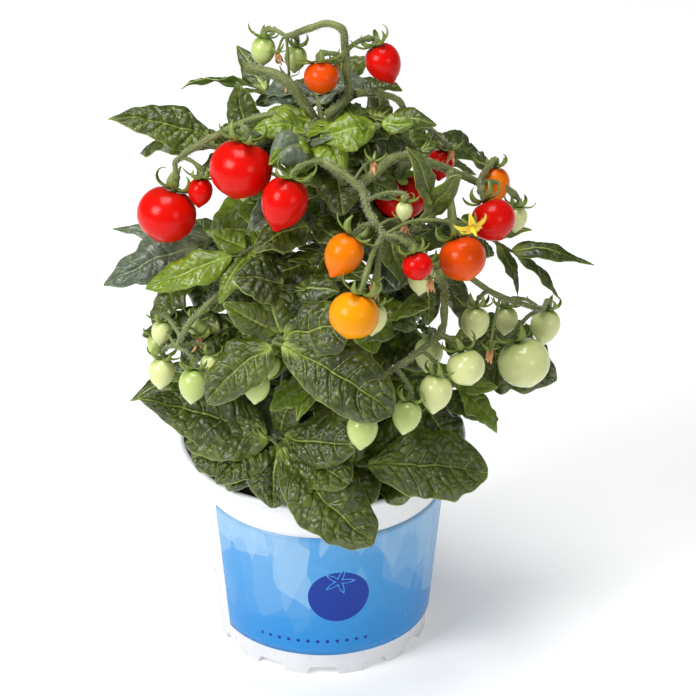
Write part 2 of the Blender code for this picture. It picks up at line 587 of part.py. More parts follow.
def make_leaf(name, height, points, leaflets, finish):
    """Compound leaf: a stalk strip with side leaflets and an end leaflet, given a thickness."""
    centre, radius = stem_at(height)
    away = Vector(points[0]) - centre
    away.z = 0
    start = centre + away.normalized() * (radius + RACHIS_HALF + GAP)
    route = smooth_route([start] + list(points))
    marks, station_rows = stalk_rows(route, [leaflet[0] for leaflet in leaflets[:-1]])
    sheet = bmesh.new()
    rows = []
    for mark in marks:
        point, direction = point_along(route, mark)
        normal = leaf_normal(direction, point)
        side = direction.cross(normal) * RACHIS_HALF
        rows.append([sheet.verts.new(p * MM) for p in (point - side, point, point + side)])
    for a, b in zip(rows, rows[1:]):
        sheet.faces.new((a[0], a[1], b[1], b[0]))
        sheet.faces.new((a[1], a[2], b[2], b[1]))
    for share, tip, width, droop, outline in leaflets[:-1]:
        row = station_rows[share]
        side = (rows[row][2].co - rows[row][0].co).dot(Vector(tip) * MM - rows[row][1].co)
        column = 2 if side > 0 else 0
        base = [rows[r][column] for r in (row - 1, row, row + 1)]
        add_leaflet(sheet, base, Vector(tip), width, droop, outline)
    _, tip, width, droop, outline = leaflets[-1]
    add_leaflet(sheet, rows[-1], Vector(tip), width, droop, outline)
    bmesh.ops.recalc_face_normals(sheet, faces=sheet.faces)
    mesh = bpy.data.meshes.new(name)
    sheet.to_mesh(mesh)
    sheet.free()
    mesh.materials.append(finish)
    mesh.shade_smooth()
    leaf = bpy.data.objects.new(name, mesh)
    bpy.context.scene.collection.objects.link(leaf)
    blade = leaf.modifiers.new("blade", "SOLIDIFY")
    blade.thickness = LEAF_THICK * MM
    blade.offset = 0.0


def make_leaves():
    """All compound leaves; every third one is a lighter green."""
    for i, (name, (height, points, leaflets)) in enumerate(LEAVES.items()):
        light = i % 3 == 2
        finish = material("leaf_light" if light else "leaf_dark",
                          LEAF_LIGHT if light else LEAF_DARK, 0.45)
        make_leaf(name, height, points, leaflets, finish)


clear_scene()
make_pot()
make_label()
make_soil()
make_stems()
make_fruits()
make_trusses()
make_flower()
make_leaves()
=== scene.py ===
"""Looks of a dwarf tomato plant in a 14 cm nursery pot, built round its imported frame.

Tables are in millimetres in the frame's axes: Z up the pot's axis, -Y the front.
"""
from __future__ import annotations

import logging
import math
from dataclasses import dataclass
from enum import Enum
from typing import Any, Sequence

import bpy
import numpy as np
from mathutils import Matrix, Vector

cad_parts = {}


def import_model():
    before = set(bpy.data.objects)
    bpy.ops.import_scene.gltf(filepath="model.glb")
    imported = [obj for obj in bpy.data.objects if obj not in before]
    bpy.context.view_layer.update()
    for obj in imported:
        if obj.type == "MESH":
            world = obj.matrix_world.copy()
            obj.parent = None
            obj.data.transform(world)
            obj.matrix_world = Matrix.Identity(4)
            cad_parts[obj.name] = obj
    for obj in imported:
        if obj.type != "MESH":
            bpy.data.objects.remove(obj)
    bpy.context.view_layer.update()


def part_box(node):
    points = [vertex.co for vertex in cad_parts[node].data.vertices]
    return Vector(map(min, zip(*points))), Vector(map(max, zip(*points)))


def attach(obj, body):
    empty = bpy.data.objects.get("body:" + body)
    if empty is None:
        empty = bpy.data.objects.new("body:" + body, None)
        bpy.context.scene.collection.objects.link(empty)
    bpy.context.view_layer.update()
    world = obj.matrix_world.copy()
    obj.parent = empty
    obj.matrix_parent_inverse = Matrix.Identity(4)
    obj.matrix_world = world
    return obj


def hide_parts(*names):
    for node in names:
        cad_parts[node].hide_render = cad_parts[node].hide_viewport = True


Array = np.ndarray
Point = tuple[float, float, float]
MM = 0.001
UP = np.array((0.0, 0.0, 1.0))
GOLDEN_ANGLE = math.radians(137.5)
HAIR_GIRTH = 0.09
DRY_PETALS, DRY_SEPALS = 5, 4
BLADE_THICK = 0.32
LEAF_STALK = (1.5, 0.75)        # radius at the stem and at the end
LEAF_HAIRS = 260
TINY_PAIRS = (0.42, 0.62, 0.78)  # shares of a leaf stalk where tiny leaflets grow
log = logging.getLogger("tomato_plant")


# =============================================================================
# Surfaces
# =============================================================================
@dataclass
class Surface:
    """Vertices with faces, a UV map and two per-vertex marks for the materials.

    verts are millimetres until a piece is made; mark holds three numbers whose meaning depends
    on the piece, tone is one random number per grown part or a blade's puckers, and group picks
    the material.
    """

    verts: Array
    faces: Array
    uv: Array
    mark: Array
    tone: Array
    group: Array

    @staticmethod
    def of(verts: Array, faces: Array, uv: Array | None = None, mark: Array | None = None,
           tone: float = 0.5, group: int = 0) -> Surface:
        """Build a surface, filling in what isn't given.

        Args:
            verts: (n, 3) points.
            faces: (m, 4) corners; a triangle repeats its last corner.
            uv: (n, 2) map, zero if left out.
            mark: (n, 3) marks, zero if left out.
            tone: one number for the whole surface.
            group: material index for all its faces.

        Returns:
            The surface.
        """
        n = len(verts)
        return Surface(verts, faces, np.zeros((n, 2)) if uv is None else uv,
                       np.zeros((n, 3)) if mark is None else mark,
                       np.full(n, tone), np.full(len(faces), group))

    @staticmethod
    def join(parts: Sequence[Surface]) -> Surface:
        """Put several surfaces in one, keeping their marks.

        Args:
            parts: the surfaces, at least one.

        Returns:
            One surface with all their faces.
        """
        starts = np.cumsum([0] + [len(p.verts) for p in parts[:-1]])
        faces = np.concatenate([p.faces + s for p, s in zip(parts, starts)])
        columns = [np.concatenate([getattr(p, name) for p in parts])
                   for name in ("verts", "uv", "mark", "tone", "group")]
        return Surface(columns[0], faces, *columns[1:])


def unit(vectors: Array) -> Array:
    """Vectors scaled to length one along the last axis."""
    vectors = np.asarray(vectors, float)
    return vectors / np.maximum(np.linalg.norm(vectors, axis=-1, keepdims=True), 1e-9)


def grid_faces(rows: int, columns: int, closed: bool = False) -> Array:
    """Quads of a grid whose vertices run row by row.

    Args:
        rows: number of rows of vertices.
        columns: vertices in a row.
        closed: whether the last column joins the first.

    Returns:
        (m, 4) corners.
    """
    i, j = np.meshgrid(np.arange(rows - 1), np.arange(columns if closed else columns - 1),
                       indexing="ij")
    a = i * columns + j
    b = i * columns + (j + 1) % columns
    return np.stack((a, b, b + columns, a + columns), -1).reshape(-1, 4)


def lathe(profile: Array, sides: int, group: int = 0) -> Surface:
    """Turn a profile round the Z axis and close both ends at the axis.

    Formula: the point at profile (r, z) and angle a is (r sin a, -r cos a, z).

    Args:
        profile: (n, 2) radius and height, from one pole to the other.
        sides: vertices round the axis.
        group: material index.

    Returns:
        A closed surface; its UV map is left at zero.
    """
    angle = np.linspace(0, math.tau, sides, endpoint=False)
    r, z = profile[:, :1], profile[:, 1:]
    ring = np.stack((r * np.sin(angle), -r * np.cos(angle), z + 0 * angle), -1)
    return Surface.of(ring.reshape(-1, 3), grid_faces(len(profile), sides, True), group=group)


def curve_through(points: Sequence[Point] | Array, steps: int) -> Array:
    """Catmull-Rom curve through points.

    Formula: between b and c, with neighbours a and d, the point at t is half of
    2b + (c - a)t + (2a - 5b + 4c - d)t^2 + (3b - a - 3c + d)t^3.

    Args:
        points: route points.
        steps: curve points for each gap.

    Returns:
        (n, 3) points that start and end on the route's ends.
    """
    p = np.asarray(points, float)
    p = np.vstack((2 * p[0] - p[1], p, 2 * p[-1] - p[-2]))
    t = (np.arange(steps) / steps)[None, :, None]
    a, b, c, d = (p[i:len(p) - 3 + i, None, :] for i in range(4))
    curve = 0.5 * (2 * b + (c - a) * t + (2 * a - 5 * b + 4 * c - d) * t ** 2
                   + (3 * b - a - 3 * c + d) * t ** 3)
    return np.vstack((curve.reshape(-1, 3), p[-2]))


def directions(path: Array) -> Array:
    """Unit tangents of a path, one for each of its points."""
    return unit(np.gradient(path, axis=0))


def sideways(path: Array) -> tuple[Array, Array]:
    """Two unit vectors square to a path, carried along it without twist.

    Args:
        path: (n, 3) points.

    Returns:
        The two (n, 3) arrays of vectors.
    """
    tangents = directions(path)
    start = np.cross(tangents[0], UP if abs(tangents[0, 2]) < 0.9 else np.array((1.0, 0, 0)))
    first = [unit(start)]
    for tangent in tangents[1:]:
        first.append(unit(first[-1] - tangent * np.dot(first[-1], tangent)))
    first = np.array(first)
    return first, np.cross(tangents, first)


def tube(path: Array, radii: Array, sides: int, tone: float = 0.5, group: int = 0) -> Surface:
    """Round tube along a path with rounded ends.

    Formula: ring point = path point + radius (cos a * first side + sin a * second side); at each
    end two more rings shrink to a pole.

    Args:
        path: (n, 3) points.
        radii: radius at each point.
        sides: vertices in a ring.
        tone: one number for the tube.
        group: material index.

    Returns:
        A closed surface whose mark is (length along, angle, radius).
    """
    tangents = directions(path)
    head = [path[0] - tangents[0] * radii[0] * s for s in (0.5, 0.35)]
    tail = [path[-1] + tangents[-1] * radii[-1] * s for s in (0.35, 0.5)]
    whole = np.vstack((head, path, tail))
    sizes = np.concatenate(([radii[0] * 0.02, radii[0] * 0.7], radii,
                            [radii[-1] * 0.7, radii[-1] * 0.02]))
    one, two = sideways(path)
    one = np.vstack((one[:1], one[:1], one, one[-1:], one[-1:]))
    two = np.vstack((two[:1], two[:1], two, two[-1:], two[-1:]))
    angle = np.linspace(0, math.tau, sides, endpoint=False)
    ring = np.cos(angle)[None, :, None] * one[:, None] + np.sin(angle)[None, :, None] * two[:, None]
    verts = (whole[:, None] + ring * sizes[:, None, None]).reshape(-1, 3)
    length = np.concatenate(([0], np.cumsum(np.linalg.norm(np.diff(whole, axis=0), axis=1))))
    mark = np.stack(np.broadcast_arrays(length[:, None], angle[None, :], sizes[:, None]), -1)
    return Surface.of(verts, grid_faces(len(whole), sides, True), mark=mark.reshape(-1, 3),
                      tone=tone, group=group)


def ripple(points: Array, size: float, seed: int) -> Array:
    """Smooth uneven field between about -1 and 1.

    Formula: mean of seven sines of the points along random directions, with wavelengths from
    0.6 to 1.6 times the size, times 1.8.

    Args:
        points: (..., 3) places.
        size: typical width of a swell.
        seed: which field.

    Returns:
        One value for each point.
    """
    rng = np.random.default_rng(seed)
    heading = unit(rng.normal(size=(7, 3))) * (math.tau / size / rng.uniform(0.6, 1.6, (7, 1)))
    return np.sin(points @ heading.T + rng.uniform(0, math.tau, 7)).mean(-1) * 1.8


def quilt(u: Array, v: Array, length: float, width: float, cell: float, rng: Any) -> Array:
    """Puckered relief of rounded cells parted by creases.

    Formula: with the distances F1 and F2 to the two nearest of a set of scattered seeds, the
    height is 1 - exp((F1 - F2) / (0.4 cell)), so sharp creases run midway between seeds.

    Args:
        u, v: blade coordinates, 0..1 along and -1..1 across.
        length: blade length.
        width: blade width.
        cell: distance between seeds.
        rng: random generator.

    Returns:
        Height from 0 in a crease to 1 on a cell.
    """
    count = max(6, int(1.5 * length * width / cell ** 2))
    seeds = rng.uniform((0, -1), (1, 1), (count, 2)) * (length, width / 2)
    place = np.stack((u * length, v * width / 2), -1)[..., None, :]
    away = np.partition(np.linalg.norm(place - seeds, axis=-1), 1, axis=-1)
    return 1 - np.exp((away[..., 0] - away[..., 1]) / (0.4 * cell))


# =============================================================================
# Node materials
# =============================================================================
class Dye:
    """Builds one material's node tree round a Principled shader."""

    def __init__(self, name: str, **constants: Any) -> None:
        """Start a material.

        Args:
            name: the material's name.
            constants: values for the shader's own sockets, with _ for a space.
        """
        self.material = bpy.data.materials.new(name)
        self.material.use_nodes = True
        self.nodes = self.material.node_tree.nodes
        self.links = self.material.node_tree.links
        self.shader = self.nodes["Principled BSDF"]
        for key, value in constants.items():
            self.shader.inputs[key.replace("_", " ")].default_value = value

    def node(self, kind: str, inputs: dict[str | int, Any] | None = None, **settings: Any) -> Any:
        """Add a node, set its properties, and set or link its inputs.

        Args:
            kind: node type without the ShaderNode prefix.
            inputs: socket name or index to a value or an output socket.
            settings: the node's own properties.

        Returns:
            The node.
        """
        made = self.nodes.new("ShaderNode" + kind)
        for key, value in settings.items():
            setattr(made, key, value)
        for key, value in (inputs or {}).items():
            if isinstance(value, bpy.types.NodeSocket):
                self.links.new(value, made.inputs[key])
            elif value is not None:
                made.inputs[key].default_value = value
        return made

    def place(self) -> Any:
        """Object coordinates, in metres."""
        return self.node("TexCoord").outputs["Object"]

    def mark(self, name: str, part: str = "") -> Any:
        """Read a per-vertex attribute.

        Args:
            name: the attribute.
            part: X, Y or Z, or nothing for an attribute of one number.

        Returns:
            Its socket.
        """
        read = self.node("Attribute", attribute_name=name)
        if not part:
            return read.outputs["Fac"]
        return self.node("SeparateXYZ", {0: read.outputs["Vector"]}).outputs[part]

    def noise(self, scale: float, detail: float = 3.0, rough: float = 0.55,
              vector: Any = None) -> Any:
        """Noise texture.

        Args:
            scale: waves in a metre.
            detail: how many finer layers.
            rough: strength of each finer layer.
            vector: coordinates, Object ones if left out.

        Returns:
            Socket from 0 to 1.
        """
        inputs = {"Vector": vector or self.place(), "Scale": scale, "Detail": detail,
                  "Roughness": rough}
        return self.node("TexNoise", inputs).outputs["Fac"]

    def cells(self, scale: float) -> Any:
        """Distance to the nearest seed of a Voronoi texture on Object coordinates."""
        inputs = {"Vector": self.place(), "Scale": scale}
        return self.node("TexVoronoi", inputs).outputs["Distance"]

    def sum(self, operation: str, a: Any, b: Any = None) -> Any:
        """One Math node."""
        return self.node("Math", {0: a, 1: b}, operation=operation).outputs[0]

    def times(self, a: Any, b: Any) -> Any:
        """The product of two values."""
        return self.sum("MULTIPLY", a, b)

    def distance(self, x: Any, y: Any) -> Any:
        """Length of the vector (x, y)."""
        return self.sum("SQRT", self.sum("ADD", self.times(x, x), self.times(y, y)))

    def spread(self, value: Any, low: float, high: float, start: float = 0.0,
               end: float = 1.0) -> Any:
        """Map low..high to start..end with a smooth step, clamped.

        Args:
            value: the socket to map.
            low, high: the range that it comes from.
            start, end: the range that it goes to.

        Returns:
            The mapped socket.
        """
        inputs = {"Value": value, "From Min": low, "From Max": high, "To Min": start,
                  "To Max": end}
        return self.node("MapRange", inputs, interpolation_type="SMOOTHSTEP").outputs["Result"]

    def mix(self, share: Any, a: Any, b: Any) -> Any:
        """Mix two colours; each is an output socket or an RGB tuple."""
        a, b = ((*c, 1.0) if isinstance(c, tuple) else c for c in (a, b))
        return self.node("Mix", {0: share, 6: a, 7: b}, data_type="RGBA").outputs[2]

    def paint(self, colour: Any) -> None:
        """Link the base colour."""
        self.links.new(colour, self.shader.inputs["Base Color"])

    def gloss(self, roughness: Any) -> None:
        """Link the roughness."""
        self.links.new(roughness, self.shader.inputs["Roughness"])

    def bump(self, *layers: tuple[Any, float]) -> None:
        """Stack bump layers.

        Args:
            layers: height socket (0 to 1) and its depth in metres, coarse first.
        """
        normal = None
        for height, depth in layers:
            inputs = {"Height": height, "Distance": depth, "Strength": 1.0, "Normal": normal}
            normal = self.node("Bump", inputs).outputs["Normal"]
        self.links.new(normal, self.shader.inputs["Normal"])


# =============================================================================
# Finishes
# =============================================================================
@dataclass(frozen=True)
class PotPlastic:
    """Moulded plastic: faint flow marks, an uneven gloss and a slight waviness."""

    name: str
    colour: Point
    shade: Point
    roughness: float

    def build(self) -> Any:
        """Moulded skin with faint clouds.

        Returns:
            The material.
        """
        dye = Dye(self.name, Specular_IOR_Level=0.5, Coat_Weight=0.15, Coat_Roughness=0.2)
        cloud = dye.noise(38.0, 2.0)
        dye.paint(dye.mix(dye.spread(cloud, 0.35, 0.75), self.colour, self.shade))
        dye.gloss(dye.spread(dye.noise(120.0, 2.0), 0.3, 0.7, self.roughness - 0.04,
                             self.roughness + 0.05))
        dye.bump((dye.noise(30.0, 1.0), 0.00003))
        return dye.material


@dataclass(frozen=True)
class LabelPrint:
    """Printed wrap: facets of pale blue over bright blue, a plain tomato emblem, a dotted line.

    The UV map holds the length round the pot from the front and the height, in decimetres.
    Each layer of facets is (turn, cells in a decimetre, shift); a facet's paleness goes by the
    height of its own seed.
    """

    name: str = "label_print"
    pale: Point = (0.12, 0.35, 0.66)
    sky: Point = (0.050, 0.30, 0.66)
    bright: Point = (0.020, 0.255, 0.65)
    shard: Point = (0.34, 0.55, 0.76)
    ink: Point = (0.0, 0.030, 0.30)
    emblem: tuple[float, float] = (0.08, 0.49)
    emblem_radius: float = 0.15
    line_height: float = 0.215
    stretch: float = 0.42
    layers: tuple[Point, ...] = ((0.5, 4.2, 0.0), (-0.75, 7.4, 3.0), (1.2, 3.1, 7.0),
                                 (0.1, 11.0, 5.0))

    def build(self) -> Any:
        """Facets under the drawing, in one gloss.

        Returns:
            The material.
        """
        dye = Dye(self.name, Specular_IOR_Level=0.3)
        uv = dye.node("UVMap").outputs["UV"]
        split = dye.node("SeparateXYZ", {0: uv})
        across, height = split.outputs["X"], split.outputs["Y"]
        base = dye.mix(dye.spread(height, 0.15, 0.62), self.bright, self.sky)
        base = dye.mix(dye.spread(height, 0.55, 0.86, 0.0, 0.6), base, self.pale)
        facets = base
        for turn, scale, shift in self.layers:
            spun = dye.node("Mapping", {"Vector": uv, "Rotation": (0, 0, turn),
                                        "Scale": (1.0, self.stretch, 1.0),
                                        "Location": (shift, 0, 0)})
            shard = dye.node("TexVoronoi", {"Vector": spun.outputs[0], "Scale": scale,
                                            "Randomness": 1.0}, voronoi_dimensions="2D")
            grey = dye.node("SeparateColor", {0: shard.outputs["Color"]}).outputs[0]
            upright = {0: shard.outputs["Position"],
                       1: (-math.sin(turn) / self.stretch, math.cos(turn) / self.stretch, 0.0)}
            seat = dye.node("VectorMath", upright, operation="DOT_PRODUCT").outputs["Value"]
            seat = dye.sum("ADD", seat, math.sin(turn) * shift / self.stretch)
            fade = dye.times(dye.spread(grey, 0.35, 0.75), dye.spread(seat, 0.42, 0.66, 0.0, 0.45))
            facets = dye.mix(fade, facets, self.shard)
        printed = dye.mix(self.drawing(dye, across, height), facets, self.ink)
        dye.paint(printed)
        dye.gloss(dye.spread(dye.noise(60.0, 2.0), 0.3, 0.7, 0.26, 0.34))
        dye.bump((dye.noise(30.0, 1.0), 0.00004))
        return dye.material

    def drawing(self, dye: Dye, across: Any, height: Any) -> Any:
        """Mask of the ink: a round fruit with a star on top, and a row of dots below.

        Args:
            dye: the material being built.
            across: length round the pot.
            height: height on the pot.

        Returns:
            Socket that is 1 on ink.
        """
        x = dye.sum("SUBTRACT", across, self.emblem[0])
        y = dye.sum("SUBTRACT", height, self.emblem[1])
        disc = dye.sum("LESS_THAN", dye.distance(x, y), self.emblem_radius)
        up = dye.sum("SUBTRACT", y, self.emblem_radius * 0.62)
        angle = dye.sum("ARCTAN2", up, x)
        away = dye.distance(x, up)
        wave = dye.sum("ABSOLUTE", dye.sum("SINE", dye.times(angle, 2.5)))
        reach = dye.sum("ADD", dye.times(wave, -0.055), 0.068)
        star = dye.sum("LESS_THAN", away, reach)
        gap = dye.sum("LESS_THAN", away, dye.sum("ADD", reach, 0.012))
        fruit = dye.times(disc, dye.sum("SUBTRACT", 1.0, gap))
        step = dye.sum("SUBTRACT", dye.sum("FRACT", dye.times(across, 20.0)), 0.5)
        drop = dye.times(dye.sum("SUBTRACT", height, self.line_height), 20.0)
        row = dye.times(dye.sum("LESS_THAN", dye.distance(step, drop), 0.2),
                        dye.sum("LESS_THAN", dye.sum("ABSOLUTE", dye.sum("ADD", x, 0.12)), 0.29))
        return dye.sum("MAXIMUM", dye.sum("MAXIMUM", fruit, star), row)


@dataclass(frozen=True)
class Compost:
    """Moist peat: near black with brown fibres and pale specks."""

    name: str = "compost"
    peat: Point = (0.010, 0.007, 0.005)
    fibre: Point = (0.075, 0.045, 0.025)
    speck: Point = (0.25, 0.17, 0.10)

    def build(self) -> Any:
        """Peat with its fibres and specks.

        Returns:
            The material.
        """
        dye = Dye(self.name, Specular_IOR_Level=0.25)
        grain = dye.noise(420.0, 6.0, 0.7)
        colour = dye.mix(dye.spread(grain, 0.35, 0.75), self.peat, self.fibre)
        specks = dye.spread(dye.cells(900.0), 0.05, 0.16, 1.0, 0.0)
        dye.paint(dye.mix(dye.times(specks, 0.35), colour, self.speck))
        dye.gloss(dye.spread(grain, 0.3, 0.7, 0.98, 0.75))
        dye.bump((dye.noise(160.0, 4.0), 0.0012), (grain, 0.0006))
        return dye.material


@dataclass(frozen=True)
class Bark:
    """Green stem skin: streaks along the stem, freckles, and a haze of fine hair."""

    name: str
    green: Point
    pale: Point
    dark: Point

    def build(self) -> Any:
        """Streaked and freckled skin.

        Returns:
            The material.
        """
        dye = Dye(self.name, Specular_IOR_Level=0.35, Sheen_Weight=0.12, Sheen_Roughness=0.4,
                  Sheen_Tint=(0.85, 0.9, 0.75, 1.0))
        along = dye.mark("mark", "X")
        angle = dye.mark("mark", "Y")
        around = {0: dye.times(along, 0.05), 1: dye.sum("SINE", angle), 2: dye.sum("COSINE", angle)}
        streak = dye.noise(3.5, 4.0, 0.6, dye.node("CombineXYZ", around).outputs[0])
        cloud = dye.noise(70.0, 3.0)
        colour = dye.mix(dye.spread(streak, 0.3, 0.72), self.green, self.pale)
        colour = dye.mix(dye.spread(cloud, 0.45, 0.8, 0.0, 0.65), colour, self.dark)
        freckle = dye.spread(dye.cells(1100.0), 0.05, 0.22, 0.5, 0.0)
        dye.paint(dye.mix(freckle, colour, self.pale))
        dye.gloss(dye.spread(cloud, 0.3, 0.7, 0.42, 0.62))
        dye.bump((streak, 0.0003), (dye.noise(1500.0, 3.0), 0.00012))
        return dye.material


@dataclass(frozen=True)
class LeafSkin:
    """Leaf face: veins from the mark, painted shade in creases between puckers, a painted rim
    highlight, uneven green.

    The mark holds the side vein's phase (whole numbers lie on a vein), the distance from the
    midrib in millimetres and the distance from the margin in millimetres. The tone is 0 in a
    crease and up to 1 on a pucker; the lower it is, the more painted shade the crease gets.
    """

    name: str
    deep: Point
    fresh: Point
    vein: Point
    roughness: float
    relief: float
    sheen: float

    def build(self) -> Any:
        """Two greens with painted shade in the creases, then the veins and the painted rim
        highlight.

        Returns:
            The material.
        """
        dye = Dye(self.name, Specular_IOR_Level=0.58, Sheen_Weight=self.sheen,
                  Sheen_Roughness=0.5, Sheen_Tint=(0.75, 0.85, 0.7, 1.0),
                  Subsurface_Weight=0.08, Subsurface_Radius=(0.002, 0.004, 0.001),
                  Subsurface_Scale=0.5)
        cloud = dye.noise(45.0, 3.0, 0.6)
        mottle = dye.noise(220.0, 2.0, 0.5)
        # painted shade: the colour darkens to the deep green in the creases, where the tone is low
        crease = dye.spread(dye.mark("tone"), 0.05, 0.7, 0.75, 0.0)
        colour = dye.mix(dye.spread(cloud, 0.25, 0.7, 0.3, 1.0), self.deep, self.fresh)
        colour = dye.mix(crease, colour, self.deep)
        for share in self.veins(dye):
            colour = dye.mix(share, colour, self.vein)
        dye.paint(colour)
        dye.gloss(dye.spread(mottle, 0.3, 0.75, self.roughness - 0.05, self.roughness + 0.1))
        dye.bump((mottle, self.relief), (dye.noise(700.0, 1.0), self.relief * 0.1))
        return dye.material

    def veins(self, dye: Dye) -> tuple[Any, Any, Any, Any]:
        """How much of the vein's colour shows.

        Args:
            dye: the material being built.

        Returns:
            Shares for the side veins, the pale foot of the blade, the midrib and the painted rim
            highlight along the margin.
        """
        phase, rib, margin = (dye.mark("mark", part) for part in "XYZ")
        along = dye.node("SeparateXYZ", {0: dye.node("UVMap").outputs["UV"]}).outputs["Y"]
        turn = dye.sum("SUBTRACT", dye.sum("FRACT", dye.sum("ADD", phase, 0.5)), 0.5)
        off = dye.sum("ABSOLUTE", turn)
        across = dye.sum("ABSOLUTE", rib)
        side = dye.times(dye.spread(off, 0.008, 0.04, 1.0, 0.0), dye.spread(margin, 0.5, 3.5))
        side = dye.times(side, dye.spread(across, 1.0, 13.0, 0.5, 0.1))
        foot = dye.times(dye.spread(across, 0.3, 5.0, 0.85, 0.0),
                         dye.spread(along, 0.0, 0.26, 1.0, 0.0))
        middle = dye.times(dye.spread(across, 0.15, 0.55, 1.0, 0.0),
                           dye.spread(along, 0.1, 1.0, 0.9, 0.3))
        # painted highlight: a pale rim of the vein colour along the margin
        edge = dye.spread(margin, 0.1, 0.4, 0.6, 0.0)
        return side, foot, middle, edge


class Ripeness(Enum):
    """How ripe a fruit is: its body, shoulder and tip colours."""

    # the red tip is darker than the body: painted shade on the fruit's lower end
    RED = ((0.66, 0.005, 0.002), (0.42, 0.006, 0.002), (0.50, 0.004, 0.002))
    ORANGE = ((0.72, 0.070, 0.002), (0.52, 0.036, 0.002), (0.78, 0.12, 0.003))
    AMBER = ((0.82, 0.19, 0.002), (0.74, 0.11, 0.002), (0.84, 0.14, 0.002))
    YELLOW = ((0.86, 0.31, 0.003), (0.80, 0.20, 0.003), (0.86, 0.36, 0.005))
    CREAM = ((0.66, 0.71, 0.32), (0.44, 0.56, 0.16), (0.76, 0.78, 0.44))
    GREEN = ((0.50, 0.60, 0.20), (0.30, 0.44, 0.08), (0.62, 0.70, 0.32))

    @property
    def slot(self) -> str:
        """The record's material slot for this ripeness."""
        shared = {"AMBER": "orange", "CREAM": "green"}
        return f"fruit_{shared.get(self.name, self.name.lower())}"


@dataclass(frozen=True)
class FruitSkin:
    """Tomato skin: shoulder to tip gradient, mottling, tiny pale dots, a clear waxy gloss; the red
    skin's darker tip is painted shade.

    The mark's X is the share of length from the stem end.
    """

    ripeness: Ripeness

    @property
    def name(self) -> str:
        """The material's name."""
        return f"skin_{self.ripeness.name.lower()}"

    def build(self) -> Any:
        """Gradient with mottling and dots.

        Returns:
            The material.
        """
        unripe = self.ripeness in (Ripeness.GREEN, Ripeness.CREAM)
        dye = Dye(self.name, Coat_Roughness=0.06, Specular_IOR_Level=0.4 if unripe else 0.15,
                  Coat_Weight=0.1 if unripe else 0.04,
                  Subsurface_Weight=0.2 if unripe else 0.05,
                  Subsurface_Radius=(0.006, 0.004, 0.002), Subsurface_Scale=0.6)
        body, shoulder, tip = self.ripeness.value
        along = dye.mark("mark", "X")
        cloud = dye.noise(120.0, 3.0)
        wobble = dye.sum("ADD", along, dye.times(dye.sum("SUBTRACT", cloud, 0.5), 0.35))
        colour = dye.mix(dye.spread(wobble, 0.02, 0.42), shoulder, body)
        # towards the tip; on the red skin the darker tip is painted shade
        colour = dye.mix(dye.spread(wobble, 0.62, 1.0, 0.0, 0.8), colour, tip)
        dots = dye.spread(dye.cells(1500.0), 0.04, 0.16, 0.30 if unripe else 0.12, 0.0)
        light = tuple(min(1.0, c * 1.35 + 0.03) for c in tip)
        dye.paint(dye.mix(dots, colour, light))
        dye.gloss(dye.spread(dye.noise(300.0, 3.0), 0.3, 0.7, 0.18, 0.26))
        dye.bump((dye.noise(110.0, 2.0), 0.0002), (dye.noise(2200.0, 2.0), 0.00002))
        return dye.material


@dataclass(frozen=True)
class Petal:
    """Thin petal or withered flower: streaks from base to tip and a soft edge colour."""

    name: str
    colour: Point
    streak: Point

    def build(self) -> Any:
        """Streaks over the petal's colour.

        Returns:
            The material.
        """
        dye = Dye(self.name, Specular_IOR_Level=0.3, Sheen_Weight=0.2)
        along = dye.mark("mark", "X")
        cloud = dye.noise(520.0, 4.0)
        share = dye.sum("ADD", dye.times(along, 0.5), dye.times(cloud, 0.6))
        dye.paint(dye.mix(dye.spread(share, 0.25, 0.85), self.streak, self.colour))
        dye.gloss(dye.spread(cloud, 0.3, 0.7, 0.5, 0.75))
        dye.bump((cloud, 0.0003))
        return dye.material


@dataclass(frozen=True)
class PlainHair:
    """White plant hair, a little uneven in tone."""

    name: str = "plant_hair"

    def build(self) -> Any:
        """Two tones of white.

        Returns:
            The material.
        """
        dye = Dye(self.name, Roughness=0.45, Specular_IOR_Level=0.4)
        dye.paint(dye.mix(dye.noise(300.0), (0.78, 0.80, 0.66), (0.55, 0.60, 0.42)))
        return dye.material


@dataclass(frozen=True)
class StudioFloor:
    """Pale seamless floor with a barely uneven tone."""

    name: str = "studio_floor"

    def build(self) -> Any:
        """Two tones of near white.

        Returns:
            The material.
        """
        dye = Dye(self.name, Roughness=0.85, Specular_IOR_Level=0.2, Emission_Strength=0.22,
                  Emission_Color=(1.0, 1.0, 1.0, 1.0))
        dye.paint(dye.mix(dye.noise(3.0), (0.94, 0.94, 0.94), (0.92, 0.92, 0.93)))
        return dye.material


